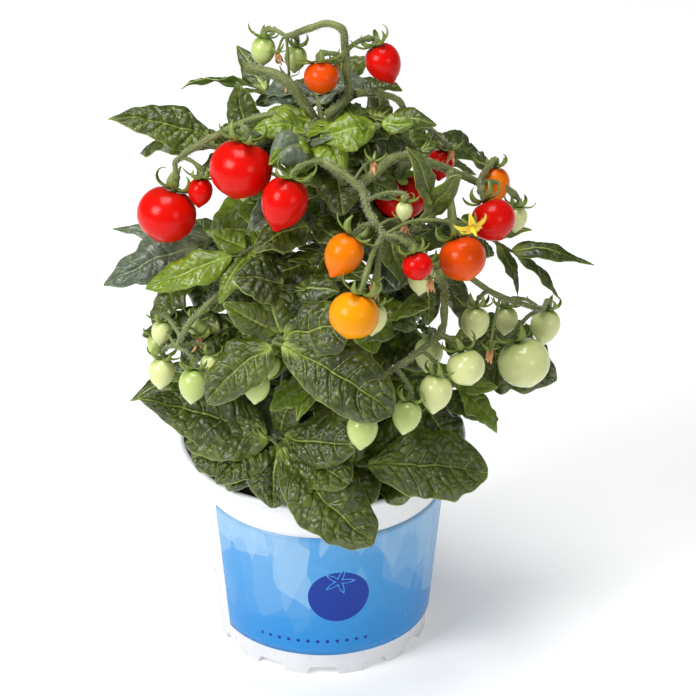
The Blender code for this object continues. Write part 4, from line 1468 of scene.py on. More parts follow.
@dataclass(frozen=True)
class Blade:
    """Shapes one leaflet's blade, midrib and short stalk."""

    base: Array
    leaflet: Leaflet
    facing: Array
    seed: int

    @property
    def reach(self) -> Array:
        """From the blade's base to its tip."""
        return np.array(self.leaflet.tip, float) - self.base

    def outline(self, u: Array, v: Array, phase: Array) -> Array:
        """Half width at each point of the grid.

        Formula: W/2 sin(pi u^widest)^fullness times the teeth, which are a skewed saw that runs
        a whole number of times up each side.

        Args:
            u, v: share along, and -1..1 across.
            phase: where the teeth start on each side.

        Returns:
            The half width in millimetres.
        """
        widest, full, depth, teeth = self.leaflet.margin.value
        shape = np.sin(math.pi * np.clip(u, 0.004, 0.996) ** widest) ** full
        saw = (teeth * u + np.where(v < 0, phase[0], phase[1])) % 1.0
        tooth = np.sin(math.pi * saw ** 1.5) * np.sin(math.pi * u) ** 0.4
        return self.leaflet.width / 2 * shape * (1 - depth * 0.6 + depth * tooth) + 0.35

    def relief(self, u: Array, v: Array, half: Array, puff: Array, groove: Array,
               phase: float) -> Array:
        """Height of the upper face over the flat leaflet.

        Formula: w (0.34 |v| - 0.36 v^2), plus the puckers and the ground between the side veins
        where the midrib and the margin leave room, plus a wavy margin.

        Args:
            u, v: share along, and -1..1 across.
            half: half width.
            puff: pucker height, 0 to 1.
            groove: 1 on a side vein, 0 away from it.
            phase: where the margin's waves start.

        Returns:
            The height in millimetres.
        """
        depth = float(np.clip(self.leaflet.width * 0.065, 0.4, 1.7))
        inner = (1 - np.abs(v) ** 5) * np.clip(u * 12, 0, 1) * np.clip((1 - u) * 9, 0.2, 1)
        rib = np.exp(-(v * half / 0.6) ** 2)
        waves = np.sin(math.tau * (2.4 * u + phase) + 1.5 * np.sign(v))
        return (half * (0.34 * np.abs(v) - 0.36 * v ** 2)
                + depth * inner * (0.8 * puff + 0.75 * (1 - groove)) * (1 - rib)
                + half * 0.13 * np.abs(v) ** 3 * waves)

    def midrib(self, face: Array, normal: Array) -> Surface:
        """Rib under the blade's middle, from the stalk nearly to the tip.

        Args:
            face: the upper face's points.
            normal: its unit normals.

        Returns:
            The closed tube.
        """
        rows, columns = face.shape[:2]
        line = face[:, columns // 2] - normal[:, columns // 2] * 0.45
        line = np.vstack((self.base, line[1: int(rows * 0.9): 2]))
        girth = float(np.clip(self.leaflet.width / 26, 0.55, 1.1))
        return tube(line, np.linspace(0.72, 0.22, len(line)) * girth, 6, group=2)

    def build(self, keep_out: KeepOut) -> Surface:
        """Work out the blade.

        Formula: with u along and v across, a point is the arched midrib at u, plus v times the
        half width across, plus the relief out of plane, all turned by a slight twist. Side veins
        run where veins * (u - 0.17 |v|^1.3) is a whole number.

        Args:
            keep_out: the solids that the blade lies against.

        Returns:
            Blade, midrib and stalk; groups 0 upper face, 1 lower face, 2 ribs.
        """
        rng = np.random.default_rng(self.seed)
        length = float(np.linalg.norm(self.reach))
        axis = self.reach / length
        up = unit(self.facing - axis * np.dot(self.facing, axis))
        side = np.cross(axis, up)
        turn = math.radians(self.leaflet.turn) + rng.uniform(-0.12, 0.12)
        up, side = (up * math.cos(turn) + side * math.sin(turn),
                    side * math.cos(turn) - up * math.sin(turn))
        width = self.leaflet.width
        pitch = 0.65 if width > 21 else 0.9
        u = np.linspace(0, 1, int(np.clip(length / pitch, 14, 100)))[:, None]
        v = np.linspace(-1, 1, int(np.clip(width / pitch, 8, 56)) | 1)[None, :]
        phase = rng.uniform(0, 1, 2)
        half = self.outline(u, v, phase)
        bend = rng.uniform(-0.05, 0.05) * length
        droop = self.leaflet.arch * np.sin(math.pi * u) - 0.06 * length * u ** 4
        spine = (self.base + axis * length * (0.07 + 0.93 * u) + up * droop
                 + side * bend * np.sin(math.pi * u) * (1 - u * 0.3))
        twist = rng.uniform(-0.35, 0.35) * (u - 0.3)
        veins = 6.0 + (self.seed % 3)
        vein = veins * (u - 0.17 * np.abs(v) ** 1.3) + 0.5
        groove = np.exp(-(np.abs((vein + 0.5) % 1.0 - 0.5) * length / veins / 0.85) ** 2)
        cell = float(np.clip(width * 0.15, 2.2, 4.4))
        puff = quilt(*np.broadcast_arrays(u, v), length, width, cell, rng)
        x = v * half
        lift = self.relief(u, v, half, puff, groove, phase[0])
        flat = side * np.cos(twist)[..., None] + up * np.sin(twist)[..., None]
        lifted = up * np.cos(twist)[..., None] - side * np.sin(twist)[..., None]
        face = spine[:, None] + flat * x[..., None] + lifted * lift[..., None]
        face = face + 0.9 * np.stack([ripple(face, 16.0, self.seed + i) for i in range(3)], -1)
        face = keep_out.clear(face)
        normal = grid_normals(face, up)
        mark = np.stack((vein, x, half * (1 - np.abs(v))), -1)
        sheet = closed_sheet(face, normal, BLADE_THICK, mark, rng.uniform(), (0, 1))
        blade_map = np.stack(np.broadcast_arrays(v / 2 + 0.5, u), -1).reshape(-1, 2)
        sheet.uv = np.vstack((blade_map, blade_map))
        sheet.tone = np.tile((0.3 * rng.uniform() + 0.7 * puff).ravel(), 2)
        return Surface.join((sheet, self.midrib(face, normal)))


@dataclass(frozen=True)
class KeepOut:
    """Balls that leaves lie against, and the pot's rim and compost that they lie on."""

    centres: Array
    radii: Array
    rim_radius: float = 71.4
    rim_top: float = 110.2
    rim_crest: float = 66.5
    mouth_radius: float = 60.0
    soil_top: float = 102.0
    clearance: float = 1.2

    def clear(self, face: Array) -> Array:
        """Push points out of the balls, over the rim and above the compost.

        Formula: a point closer to a ball's centre than its radius plus the clearance moves straight
        away from the centre to that distance; over the rim's inner half a low point rises,
        over its outer half it moves outwards.

        Args:
            face: (..., 3) points.

        Returns:
            The moved points.
        """
        points = face.reshape(-1, 3)
        away = points[:, None] - self.centres
        far = np.linalg.norm(away, axis=-1)
        push = np.clip(self.radii + self.clearance - far, 0, None)
        points = points + (away / far[..., None] * push[..., None]).sum(1)
        radius = np.hypot(points[:, 0], points[:, 1])
        low = points[:, 2] < self.rim_top
        inside = (radius < self.rim_crest) & (radius > self.mouth_radius) & low
        outside = (radius >= self.rim_crest) & (radius < self.rim_radius) & low
        points[:, 2] = np.where(inside, self.rim_top, points[:, 2])
        points[:, :2] *= np.where(outside, self.rim_radius / radius, 1.0)[:, None]
        buried = (radius <= self.mouth_radius) & (points[:, 2] < self.soil_top)
        points[:, 2] = np.where(buried, self.soil_top, points[:, 2])
        return points.reshape(face.shape)


@dataclass(frozen=True)
class Leaf:
    """A compound leaf: height on the main stem, stalk points, leaflets and upper finish.

    Three pairs of tiny leaflets grow between the listed ones. A leaf without its own node fills
    a gap in the bush.
    """

    node: str
    height: float
    stalk: tuple[Point, ...]
    leaflets: tuple[Leaflet, ...]
    skin: Finish = Finish.LEAF_TOP
    own_node: bool = True

    def facing(self, place: Array) -> Array:
        """Direction of the upper faces: up and away from the plant's axis."""
        return UP + np.array((place[0], place[1] - 25.0, 0.0)) / 90.0

    def build(self, stem: Array, keep_out: KeepOut, seed: int) -> Surface:
        """Make the leaf.

        Args:
            stem: main stem points with radius, (n, 4).
            keep_out: what its blades lie against.
            seed: which irregularities.

        Returns:
            The stalk's hair.
        """
        rng = np.random.default_rng(seed)
        root = np.array([np.interp(self.height, stem[:, 2], stem[:, k]) for k in range(3)])
        path = curve_through((root, *self.stalk), 8)
        radii = np.linspace(*LEAF_STALK, len(path))
        parts = [tube(path, radii, 8, group=2)]
        heading = unit(path[-1] - path[0])
        across = unit(np.cross(heading, UP))
        steps = np.linspace(0, 1, len(path))

        def along(share: float) -> Array:
            """The stalk's point at a share of its length."""
            return np.array([np.interp(share, steps, path[:, i]) for i in range(3)])

        for k, leaflet in enumerate(self.leaflets):
            base = along(leaflet.share)
            middle = (base + np.array(leaflet.tip)) / 2
            parts.append(Blade(base, leaflet, self.facing(middle), seed * 20 + k).build(keep_out))
        for share in TINY_PAIRS:
            base = along(share)
            for sign in (-1, 1):
                size = rng.uniform(6, 13)
                tip = base + (across * sign + heading * 0.6 + UP * rng.uniform(-0.3, 0.3)) * size
                small = Leaflet(share, tuple(tip), size * 0.55, 0.4, Margin.LANCE)
                parts.append(Blade(base, small, self.facing(tip), seed * 20 + 15).build(keep_out))
        place_piece(f"{self.node}_blades", Surface.join(parts),
                    (self.skin, Finish.LEAF_UNDER, Finish.TRUSS), "leaf",
                    (self.node,) if self.own_node else ())
        return fuzz(path, radii, LEAF_HAIRS, 1.1, seed)


# =============================================================================
# The plant's own measures, in millimetres
# =============================================================================
MAIN_STEM: tuple[tuple[float, float, float, float], ...] = (
    (0, 0, 77, 5.0), (1, -2, 112, 4.8), (2, -4, 150, 4.4), (3, -5, 190, 4.0), (3, -7, 230, 3.6),
    (3, -9, 262, 3.2), (1, -12, 284, 2.8))

SHOOTS: tuple[Shoot, ...] = (
    Shoot("main_stem", tuple(p[:3] for p in MAIN_STEM), tuple(p[3] for p in MAIN_STEM), 24, 1500),
    Shoot("shoot_back", ((3, 2, 182), (4, 16, 204), (8, 34, 222), (10, 44, 230)), (2.5, 2.0)),
    Shoot("cut_shoot", ((-3, -15, 286), (-10, -12, 297), (-15, -10, 303), (-23, -6, 306),
                        (-35, -2, 307)), (2.6, 2.4)),
)


def own(name: str, centre: Point, diameter: float, stem_end: Point, kind: str,
        ripe: str) -> Tomato:
    """A fruit that has a CAD node of its own."""
    return Tomato(name, centre, diameter, stem_end, kind == "heart", Ripeness[ripe])


def berry(name: str, centre: Point, diameter: float, ripe: str, stem_end: Point = (0.1, 0.3, 0.9),
          kind: str = "heart") -> Tomato:
    """A small fruit that is part of its truss's CAD node."""
    return Tomato(name, centre, diameter, stem_end, kind == "heart", Ripeness[ripe], False)


TRUSSES: tuple[Truss, ...] = (
    Truss("truss_top", (
          (3, -13, 288), (12, -12, 297), (12, -12, 310), (11, -12, 322), (10, -14, 332),
          (3, -11, 334), (-5, -8, 330), (-16, -2, 323)), 2.2, 1.4, (
        own("tomato_top", (0, -18, 310), 16, (-0.1, 0.4, 0.9), "round", "ORANGE"),
        own("tomato_top_right", (30, -8, 311), 17, (-0.4, 0.2, 0.9), "heart", "RED"),
        berry("berry_top_0", (-27, 4, 313), 12, "GREEN"),
        berry("berry_top_1", (-12, 4, 309), 11, "GREEN"),
    ), ((-15, -5, 304), (-20, -2, 315), (7, -12, 314))),
    Truss("truss_top_right", (
          (17, -12, 299), (27, -9, 297), (36, -8, 293), (41, -6, 282), (51, -2, 275), (57, 0, 268),
          (61, 2, 263)), 1.6, 1.0, (
        berry("berry_top_right_0", (56, 4, 254), 13, "RED"),
    ), ((61, 0, 263),)),
    Truss("truss_upper_left", (
          (-2, -17, 274), (-12, -20, 288), (-26, -26, 294), (-45, -28, 287), (-60, -24, 276),
          (-68, -22, 268)), 1.9, 1.3, (
        own("tomato_left_large", (-37, -42, 275), 29, (0.2, 0.4, 0.9), "round", "RED"),
        own("tomato_left_second", (-72, -30, 245), 28, (0.3, 0.3, 0.9), "round", "RED"),
        berry("berry_upper_left_0", (-56, -32, 258), 12, "RED"),
        berry("berry_upper_left_1", (-36, -22, 254), 9, "CREAM"),
    )),
    Truss("truss_front", (
          (11, -41, 267), (6, -46, 278), (2, -48, 281), (11, -52, 277), (19, -56, 271),
          (21, -62, 265), (25, -68, 261), (28, -73, 257)), 1.8, 1.3, (
        own("tomato_center_heart", (-18, -62, 266), 22, (0.3, 0.3, 0.9), "heart", "RED"),
        own("tomato_front_upper", (9, -84, 251), 18, (0.5, 0.4, 0.8), "heart", "AMBER"),
        own("tomato_front_lower", (15, -97, 229), 23, (0.3, 0.4, 0.9), "round", "YELLOW"),
        own("tomato_front_small", (44, -78, 244), 14, (-0.3, 0.3, 0.9), "round", "RED"),
        berry("berry_front_0", (38, -62, 264), 8, "CREAM"),
        berry("berry_front_1", (46, -60, 228), 13, "CREAM"),
        berry("berry_front_2", (24, -82, 219), 13, "CREAM"),
    ), ((24, -50, 283), (38, -60, 257), (50, -72, 234), (24, -86, 240)), 1100),
    Truss("truss_hairy", (
          (5, -14, 238), (8, -25, 252), (14, -37, 263), (24, -42, 272), (31, -40, 278),
          (38, -36, 278), (50, -26, 270), (66, -14, 257), (74, -8, 250)), 2.6, 1.7, (
        own("tomato_inner", (37, -22, 251), 25, (-0.1, -0.2, 0.95), "round", "RED"),
        own("tomato_right_upper", (80, -26, 240), 21, (-0.4, 0.5, 0.8), "round", "RED"),
        own("tomato_right_front", (65, -58, 237), 22, (-0.3, 0.5, 0.8), "round", "ORANGE"),
        berry("berry_hairy_0", (81, 2, 244), 16, "AMBER"),
        berry("berry_hairy_1", (92, -2, 228), 11, "CREAM"),
    )),
    Truss("truss_right", (
          (9, -8, 168), (20, -19, 190), (36, -31, 208), (54, -38, 222), (64, -39, 221),
          (70, -39, 216), (82, -33, 204), (96, -25, 194), (105, -18, 187)), 1.8, 1.2, (
        own("tomato_right_low", (96, -28, 164), 25, (-0.3, 0.3, 0.9), "round", "CREAM"),
        berry("berry_right_0", (72, -42, 194), 14, "CREAM"),
        berry("berry_right_1", (107, -6, 172), 15, "CREAM"),
        berry("berry_right_2", (88, -8, 176), 12, "CREAM"),
    ), ((79, -50, 184),)),
    Truss("truss_low", (
          (52, -41, 220), (57, -48, 216), (57, -56, 209), (56, -62, 201), (47, -70, 196),
          (40, -75, 193), (34, -78, 190)), 1.8, 1.2, (
        own("tomato_low_pale", (67, -70, 186), 18, (-0.3, 0.4, 0.9), "round", "CREAM"),
        own("tomato_low_tip", (39, -88, 169), 14, (0.2, 0.4, 0.9), "heart", "GREEN"),
        berry("berry_low_0", (53, -76, 176), 16, "CREAM"),
        berry("berry_low_1", (50, -54, 184), 14, "CREAM"),
        berry("berry_low_2", (19, -88, 163), 15, "GREEN"),
    )),
    Truss("truss_left", (
          (-4, -10, 176), (-14, -20, 196), (-26, -31, 207), (-44, -46, 213), (-53, -54, 210),
          (-62, -58, 201), (-68, -58, 190)), 1.7, 1.1, (
        own("tomato_left_green", (-60, -70, 175), 14, (0.1, 0.4, 0.9), "heart", "GREEN"),
        berry("berry_left_0", (-75, -54, 174), 13, "CREAM"),
        berry("berry_left_1", (-52, -60, 181), 10, "CREAM"),
        berry("berry_left_2", (-78, -42, 182), 9, "GREEN"),
        berry("berry_left_3", (-75, -46, 191), 10, "CREAM"),
        berry("berry_left_4", (-58, -50, 197), 10, "GREEN", (0.1, 0.2, 0.9), "round"),
    ), ((-57, -56, 194),)),
    Truss("truss_center", (
          (-9, -32, 200), (-16, -46, 200), (-22, -58, 197), (-26, -66, 193)), 1.4, 0.9, (
        berry("berry_center_0", (-30, -76, 179), 13, "GREEN"),
        berry("berry_center_1", (-24, -62, 182), 10, "GREEN"),
    )),
    Truss("truss_back", (
          (11, 47, 232), (14, 54, 238), (8, 60, 238), (-2, 60, 232), (-10, 56, 226),
          (-16, 54, 216)), 1.8, 1.2, (
        own("tomato_back_large", (27, 68, 221), 27, (-0.4, -0.4, 0.8), "round", "RED"),
        own("tomato_back_low", (2, 72, 210), 24, (0.1, -0.4, 0.9), "round", "ORANGE"),
        own("tomato_back_left", (-34, 46, 232), 21, (0.4, -0.3, 0.8), "round", "RED"),
        own("tomato_back_green", (-18, 58, 198), 15, (0.3, -0.4, 0.9), "heart", "GREEN"),
        berry("berry_back_0", (-34, 60, 210), 12, "GREEN"),
    )),
)

LEAVES: tuple[Leaf, ...] = (
    Leaf("leaf_front_upper", 190, ((-12, -48, 197), (-22, -78, 204)), (
         Leaflet(0.8, (-44, -70, 219), 15, 1), Leaflet(0.9, (14, -90, 219), 26, 1, Margin.BLUNT),
         Leaflet(0.93, (-54, -86, 177), 24, 3), Leaflet(1, (33, -106, 183), 32, 4, Margin.BLUNT),
         Leaflet(0.84, (-24, -62, 222), 14, 1))),
    Leaf("leaf_front_low", 116, ((-18, -38, 131), (-23, -60, 140)), (
         Leaflet(0.7, (-12, -58, 161), 17, 1), Leaflet(0.72, (-50, -66, 122), 24, 2),
         Leaflet(0.86, (15, -78, 149), 25, 2, Margin.BLUNT),
         Leaflet(0.88, (-87, -46, 156), 31, -4, Margin.LANCE),
         Leaflet(1, (24, -94, 104), 32, 5, Margin.BLUNT), Leaflet(0.9, (-66, -50, 134), 24, 2),
         Leaflet(0.8, (12, -84, 132), 26, 2, Margin.BLUNT),
         Leaflet(0.78, (-24, -74, 112), 24, 3, Margin.BLUNT), Leaflet(0.7, (-46, -58, 112), 22, 3),
         Leaflet(0.8, (-64, -44, 121), 26, 3, Margin.BLUNT))),
    Leaf("leaf_front_low_right", 118, ((11, -38, 118), (17, -58, 125)), (
         Leaflet(0.9, (-8, -78, 118), 18, 2), Leaflet(0.8, (49, -44, 138), 22, 1, Margin.BLUNT),
         Leaflet(1, (79, -60, 124), 35, 3, Margin.BLUNT), Leaflet(0.85, (14, -56, 148), 16, 1),
         Leaflet(0.6, (22, -72, 113), 20, 2, Margin.BLUNT))),
    Leaf("leaf_right_low", 134, ((34, -18, 140), (56, -30, 146)), (
         Leaflet(0.75, (84, -10, 128), 13, 3, Margin.LANCE), Leaflet(0.85, (52, -48, 158), 14, 0),
         Leaflet(0.7, (67, -34, 118), 24, 2, Margin.BLUNT),
         Leaflet(1, (84, -38, 140), 17, 2))),
    Leaf("leaf_right_serrated", 158, ((40, 4, 166), (68, 6, 156)), (
         Leaflet(0.8, (88, -8, 136), 16, 2, Margin.LOBED, 40.0),
         Leaflet(0.88, (98, 14, 162), 15, 2, Margin.LOBED, 30.0),
         Leaflet(1, (115, 2, 137), 34, 3, Margin.LOBED, 50.0))),
    Leaf("leaf_right_upper", 206, ((40, 8, 222), (71, 10, 215), (92, 10, 203)), (
         Leaflet(0.72, (100, 14, 214), 9, 1, Margin.LANCE),
         Leaflet(0.84, (96, 4, 184), 12, 1, Margin.LANCE),
         Leaflet(0.93, (131, 14, 196), 12, 1, Margin.LANCE),
         Leaflet(1, (116, 8, 180), 10, 1, Margin.LANCE))),
    Leaf("leaf_left_upper", 250, ((-28, 0, 264), (-46, -4, 267)), (
         Leaflet(0.6, (-40, 4, 296), 17, -1), Leaflet(0.85, (-60, -8, 254), 12, 1, Margin.LANCE),
         Leaflet(1, (-98, -8, 285), 23, 3, Margin.LANCE))),
    Leaf("leaf_left_mid", 212, ((-34, -8, 222), (-55, -14, 221)), (
         Leaflet(0.7, (-62, -26, 207), 13, 2, Margin.LANCE),
         Leaflet(0.85, (-100, 2, 222), 11, 1, Margin.LANCE),
         Leaflet(1, (-104, -20, 202), 21, 2, Margin.LOBED, -25.0)), Finish.LEAF_SILVER),
    Leaf("leaf_left_fold", 222, ((-24, -32, 232), (-38, -44, 231)), (
         Leaflet(0.75, (-48, -56, 214), 14, 2), Leaflet(0.85, (-52, -36, 240), 13, 0, Margin.LANCE),
         Leaflet(1, (-82, -44, 214), 17, 3)), Finish.LEAF_FRESH),
    Leaf("leaf_left_lower", 164, ((-34, -26, 182), (-50, -34, 184)), (
         Leaflet(0.75, (-52, -48, 166), 15, 2), Leaflet(0.88, (-66, -22, 190), 12, 0),
         Leaflet(1, (-86, -24, 178), 19, 3))),
    Leaf("leaf_left_base", 132, ((-40, -10, 146), (-60, -16, 148)), (
         Leaflet(0.78, (-72, -30, 146), 12, 1, Margin.LANCE),
         Leaflet(0.88, (-80, 0, 144), 13, 1, Margin.LANCE),
         Leaflet(1, (-93, -20, 140), 12, 2, Margin.LANCE))),
    Leaf("leaf_top_left", 268, ((-16, 10, 281), (-32, 18, 288)), (
         Leaflet(0.7, (-30, 34, 272), 13, 1, Margin.LANCE),
         Leaflet(0.8, (-40, 34, 302), 12, 0, Margin.LANCE),
         Leaflet(1, (-66, 14, 291), 12, 2, Margin.LANCE, 50.0))),
    Leaf("leaf_top_center", 276, ((-6, -26, 286), (-8, -30, 286)), (
         Leaflet(0.8, (18, -34, 274), 14, 1), Leaflet(1, (-23, -52, 284), 17, 2, Margin.LANCE)),
         Finish.LEAF_FRESH),
    Leaf("leaf_top_right", 272, ((22, -10, 284), (30, -14, 286)), (
         Leaflet(0.6, (28, 14, 290), 12, 0, Margin.LANCE), Leaflet(0.8, (20, -30, 284), 14, 1),
         Leaflet(1, (52, -16, 286), 14, 2, Margin.LANCE))),
    Leaf("leaf_slender", 214, ((36, -26, 230), (51, -46, 257)), (
         Leaflet(0.85, (64, -54, 276), 12, 0), Leaflet(1, (41, -52, 291), 11, 1, Margin.LANCE))),
    Leaf("leaf_center_round", 204, ((-8, -44, 214), (-16, -56, 221)), (
         Leaflet(0.8, (8, -62, 222), 13, 1), Leaflet(1, (-40, -66, 232), 22, 2))),
    Leaf("leaf_center_oval", 234, ((-2, -32, 244), (-4, -44, 246)), (
         Leaflet(0.75, (12, -60, 244), 12, 1), Leaflet(1, (-30, -66, 246), 19, 2))),
    Leaf("leaf_inner_right", 186, ((24, -34, 196), (33, -46, 200)), (
         Leaflet(0.7, (46, -34, 188), 13, 1), Leaflet(0.85, (20, -66, 200), 16, 1),
         Leaflet(1, (48, -66, 216), 16, 2))),
    Leaf("small_leaf_front", 150, ((0, -40, 168), (-2, -62, 174)), (
         Leaflet(1, (-24, -78, 168), 13, 1, Margin.LOBED),
         Leaflet(0.9, (-12, -80, 164), 9, 1, Margin.LANCE)), Finish.LEAF_FRESH, False),
    Leaf("small_leaf_right", 140, ((48, -22, 152), (64, -32, 154)), (
         Leaflet(1, (84, -44, 136), 15, 1, Margin.LOBED), Leaflet(0.9, (84, -34, 155), 11, 1)),
         Finish.LEAF_FRESH, False),
    Leaf("small_leaf_left", 206, ((-40, -8, 208), (-58, -14, 206)), (
         Leaflet(1, (-81, -26, 181), 21, 4, Margin.LOBED), Leaflet(0.9, (-53, -20, 178), 19, 3),
         Leaflet(0.85, (-84, -14, 200), 14, 2)), Finish.LEAF_TOP, False),
    Leaf("small_leaf_low_left", 166, ((-30, -18, 176), (-44, -27, 184)), (
         Leaflet(1, (-68, -38, 167), 23, 3, Margin.LOBED),), Finish.LEAF_TOP, False),
    Leaf("small_leaf_right_mid", 196, ((36, -10, 206), (54, -16, 210)), (
         Leaflet(1, (73, -22, 174), 20, 2, Margin.LOBED), Leaflet(0.9, (50, -30, 186), 14, 1)),
         Finish.LEAF_TOP, False),
    Leaf("small_leaf_painted_sheen", 268, ((-4, -28, 282), (-6, -36, 286)), (
         Leaflet(1, (-22, -50, 284), 17, 2, Margin.OVAL, -20.0),), Finish.LEAF_SILVER, False),
    Leaf("small_leaf_top", 276, ((14, -22, 286), (27, -30, 291)), (
         Leaflet(1, (1, -40, 292), 16, 1), Leaflet(0.95, (42, -30, 292), 11, 1)),
         Finish.LEAF_FRESH, False),
    Leaf("leaf_back_upper", 258, ((6, 22, 274), (8, 34, 278)), (
         Leaflet(0.75, (-18, 38, 280), 19, 1), Leaflet(0.85, (38, 34, 280), 20, 1),
         Leaflet(1, (12, 72, 276), 27, 4, Margin.BLUNT))),
    Leaf("leaf_back_right", 224, ((32, 26, 240), (44, 38, 244)), (
         Leaflet(0.78, (74, 26, 238), 19, 2), Leaflet(0.88, (40, 66, 252), 20, 1),
         Leaflet(1, (82, 62, 226), 27, 4, Margin.BLUNT))),
    Leaf("leaf_back_left", 238, ((-30, 20, 252), (-44, 28, 254)), (
         Leaflet(0.78, (-38, 56, 254), 19, 1), Leaflet(0.88, (-72, 20, 266), 19, 1),
         Leaflet(1, (-88, 46, 240), 27, 4, Margin.BLUNT))),
    Leaf("leaf_back_low_left", 172, ((-30, 26, 192), (-44, 36, 196)), (
         Leaflet(0.78, (-42, 68, 186), 20, 2), Leaflet(0.88, (-78, 22, 196), 20, 2),
         Leaflet(1, (-84, 62, 178), 30, 5, Margin.BLUNT))),
    Leaf("leaf_back_low_right", 176, ((30, 28, 192), (44, 38, 196)), (
         Leaflet(0.78, (44, 72, 190), 20, 2), Leaflet(0.88, (80, 28, 194), 20, 2),
         Leaflet(1, (84, 66, 176), 30, 5, Margin.BLUNT))),
    Leaf("leaf_back_base", 140, ((4, 36, 150), (4, 52, 152)), (
         Leaflet(0.78, (-40, 54, 150), 22, 2), Leaflet(0.88, (46, 58, 150), 22, 2),
         Leaflet(1, (4, 94, 132), 31, 5, Margin.BLUNT))),
)


# =============================================================================
# Studio
# =============================================================================
@dataclass(frozen=True)
class Studio:
    """Camera above the front of the plant, soft lamps and a pale floor; lengths in metres."""

    target: Point = (0.0124, 0.0, 0.1559)
    distance: float = 1.9205
    elevation: float = 30.0
    field_of_view: float = 10.0
    surroundings: float = 0.17
    floor_size: float = 6.0

    def camera(self) -> None:
        """Make the scene's camera."""
        data = bpy.data.cameras.new("camera")
        data.angle = math.radians(self.field_of_view)
        thing = bpy.data.objects.new("camera", data)
        rise = math.radians(self.elevation)
        back = np.array((0.0, -math.cos(rise), math.sin(rise)))
        thing.location = np.array(self.target) + back * self.distance
        thing.rotation_euler = (math.pi / 2 - rise, 0.0, 0.0)
        bpy.context.scene.collection.objects.link(thing)
        bpy.context.scene.camera = thing

    def lamp(self, name: str, place: Point, size: float, power: float) -> None:
        """Make a square area lamp that points at the plant.

        Args:
            name: the lamp's name.
            place: where it hangs.
            size: side of the square.
            power: strength in watts.
        """
        data = bpy.data.lights.new(name, "AREA")
        data.size = size
        data.energy = power
        thing = bpy.data.objects.new(name, data)
        thing.location = place
        aim = np.array(self.target) - np.array(place)
        flat = math.hypot(aim[0], aim[1])
        heading = math.atan2(aim[1], aim[0]) - math.pi / 2
        thing.rotation_euler = (math.atan2(flat, -aim[2]), 0.0, heading)
        bpy.context.scene.collection.objects.link(thing)

    def build(self) -> None:
        """Make camera, lamps, surroundings and floor."""
        scene = bpy.context.scene
        self.camera()
        self.lamp("key", (-1.2, -1.0, 1.3), 0.8, 28.0)
        self.lamp("fill", (1.2, -1.4, 0.9), 0.6, 5.0)
        self.lamp("top", (-0.1, 0.0, 2.0), 0.9, 24.0)
        world = bpy.data.worlds.new("soft_white")
        scene.world = world
        world.use_nodes = True
        sky = world.node_tree.nodes["Background"].inputs
        sky["Color"].default_value = (1.0, 1.0, 1.0, 1.0)
        sky["Strength"].default_value = self.surroundings
        scene.view_settings.view_transform = "Standard"
        mesh = bpy.data.meshes.new("floor")
        half = self.floor_size / 2
        mesh.from_pydata([(-half, -half, 0), (half, -half, 0), (half, half, 0), (-half, half, 0)],
                         [], [(0, 1, 2, 3)])
        mesh.materials.append(Finish.FLOOR.material())
        floor = bpy.data.objects.new("floor", mesh)
        scene.collection.objects.link(floor)


FILLING_SKINS: tuple[Finish, ...] = (
    Finish.LEAF_TOP, Finish.LEAF_TOP, Finish.LEAF_SILVER, Finish.LEAF_FRESH, Finish.LEAF_TOP,
    Finish.LEAF_TOP, Finish.LEAF_FRESH)


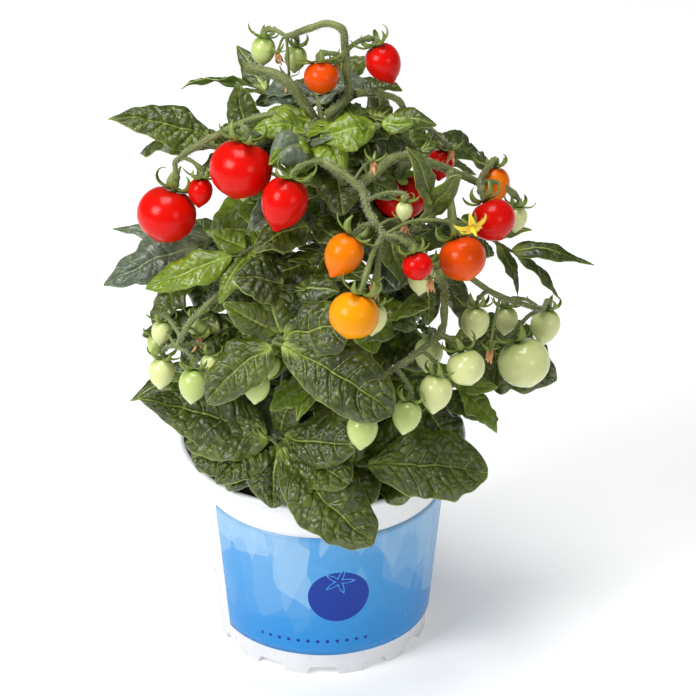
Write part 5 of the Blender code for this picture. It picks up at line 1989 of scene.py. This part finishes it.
def filling_leaves(name: str, count: int, low: float, high: float, wide: float,
                   narrow: float, left_out: Sequence[int] = ()) -> list[Leaf]:
    """Shorter leaves inside the bush, one golden angle apart up the main stem.

    Formula: leaf k of n leaves the stem at height low + (high - low) k/n at the azimuth k times
    137.5 degrees; its reach falls from wide at the bottom to narrow at the top.

    Args:
        name: what the leaves' names start with.
        count: how many.
        low, high: heights between which they grow.
        wide, narrow: reach of the lowest and of the highest.
        left_out: numbers of the leaves that would hide a fruit.

    Returns:
        The leaves.
    """
    rng = np.random.default_rng(21 + count)
    leaves = []
    for k in range(count):
        share = (k + 0.5) / count
        height = low + (high - low) * share
        angle = k * GOLDEN_ANGLE + 0.6
        reach = (wide + (narrow - wide) * share) * rng.uniform(0.85, 1.1)
        out = np.array((math.sin(angle), -math.cos(angle), 0.0))
        across = np.array((-out[1], out[0], 0.0))
        start = np.array((3.0, -6.0, height))
        half = start + out * reach * 0.4 + UP * rng.uniform(6, 14)
        knee = start + out * reach * 0.62 + UP * rng.uniform(4, 14)
        leaflets = []
        for side, place in ((-1, 0.66), (1, 0.72), (-1, 0.9), (1, 0.94)):
            tip = knee + across * side * rng.uniform(20, 28) + out * rng.uniform(-2, 18)
            tip = tip + UP * rng.uniform(-14, 4)
            leaflets.append(Leaflet(place, tuple(tip), rng.uniform(14, 19), 2.0))
        end = start + out * reach * 1.12 + UP * rng.uniform(-14, 4)
        leaflets.append(Leaflet(1.0, tuple(end), rng.uniform(17, 22), 3.0))
        skin = FILLING_SKINS[k % len(FILLING_SKINS)]
        leaves.append(Leaf(f"{name}_{k:02d}", height, (tuple(half), tuple(knee)), tuple(leaflets),
                           skin, False))
    return [leaf for k, leaf in enumerate(leaves) if k not in left_out]


def grow_plant() -> None:
    """Make the stems, trusses, leaves and flower, and one piece for all their hair."""
    stem = np.array(MAIN_STEM, float)
    fruits = [fruit for truss in TRUSSES for fruit in truss.fruits]
    keep_out = KeepOut(np.array([fruit.middle for fruit in fruits]),
                       np.array([fruit.diameter / 2 for fruit in fruits]))
    hair = []
    for seed, shoot in enumerate(SHOOTS):
        hair.append(shoot.build(seed + 1))
    for seed, truss in enumerate(TRUSSES):
        hair.append(truss.build(seed * 11 + 5))
    inner = filling_leaves("inner_leaf", 32, 122, 284, 66, 36, (24,))
    collar = filling_leaves("collar_leaf", 10, 104, 112, 54, 56)
    for seed, leaf in enumerate((*LEAVES, *inner, *collar)):
        hair.append(leaf.build(stem, keep_out, seed + 1))
    OpenFlower().build()
    place_piece("plant_hair", Surface.join(hair), (Finish.HAIR,), "truss_stem")


def main() -> None:
    """Build the pot, the plant and the studio."""
    logging.basicConfig(level=logging.INFO, format="%(message)s")
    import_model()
    Studio().build()
    NurseryPot().build()
    grow_plant()


if __name__ == "__main__":
    main()
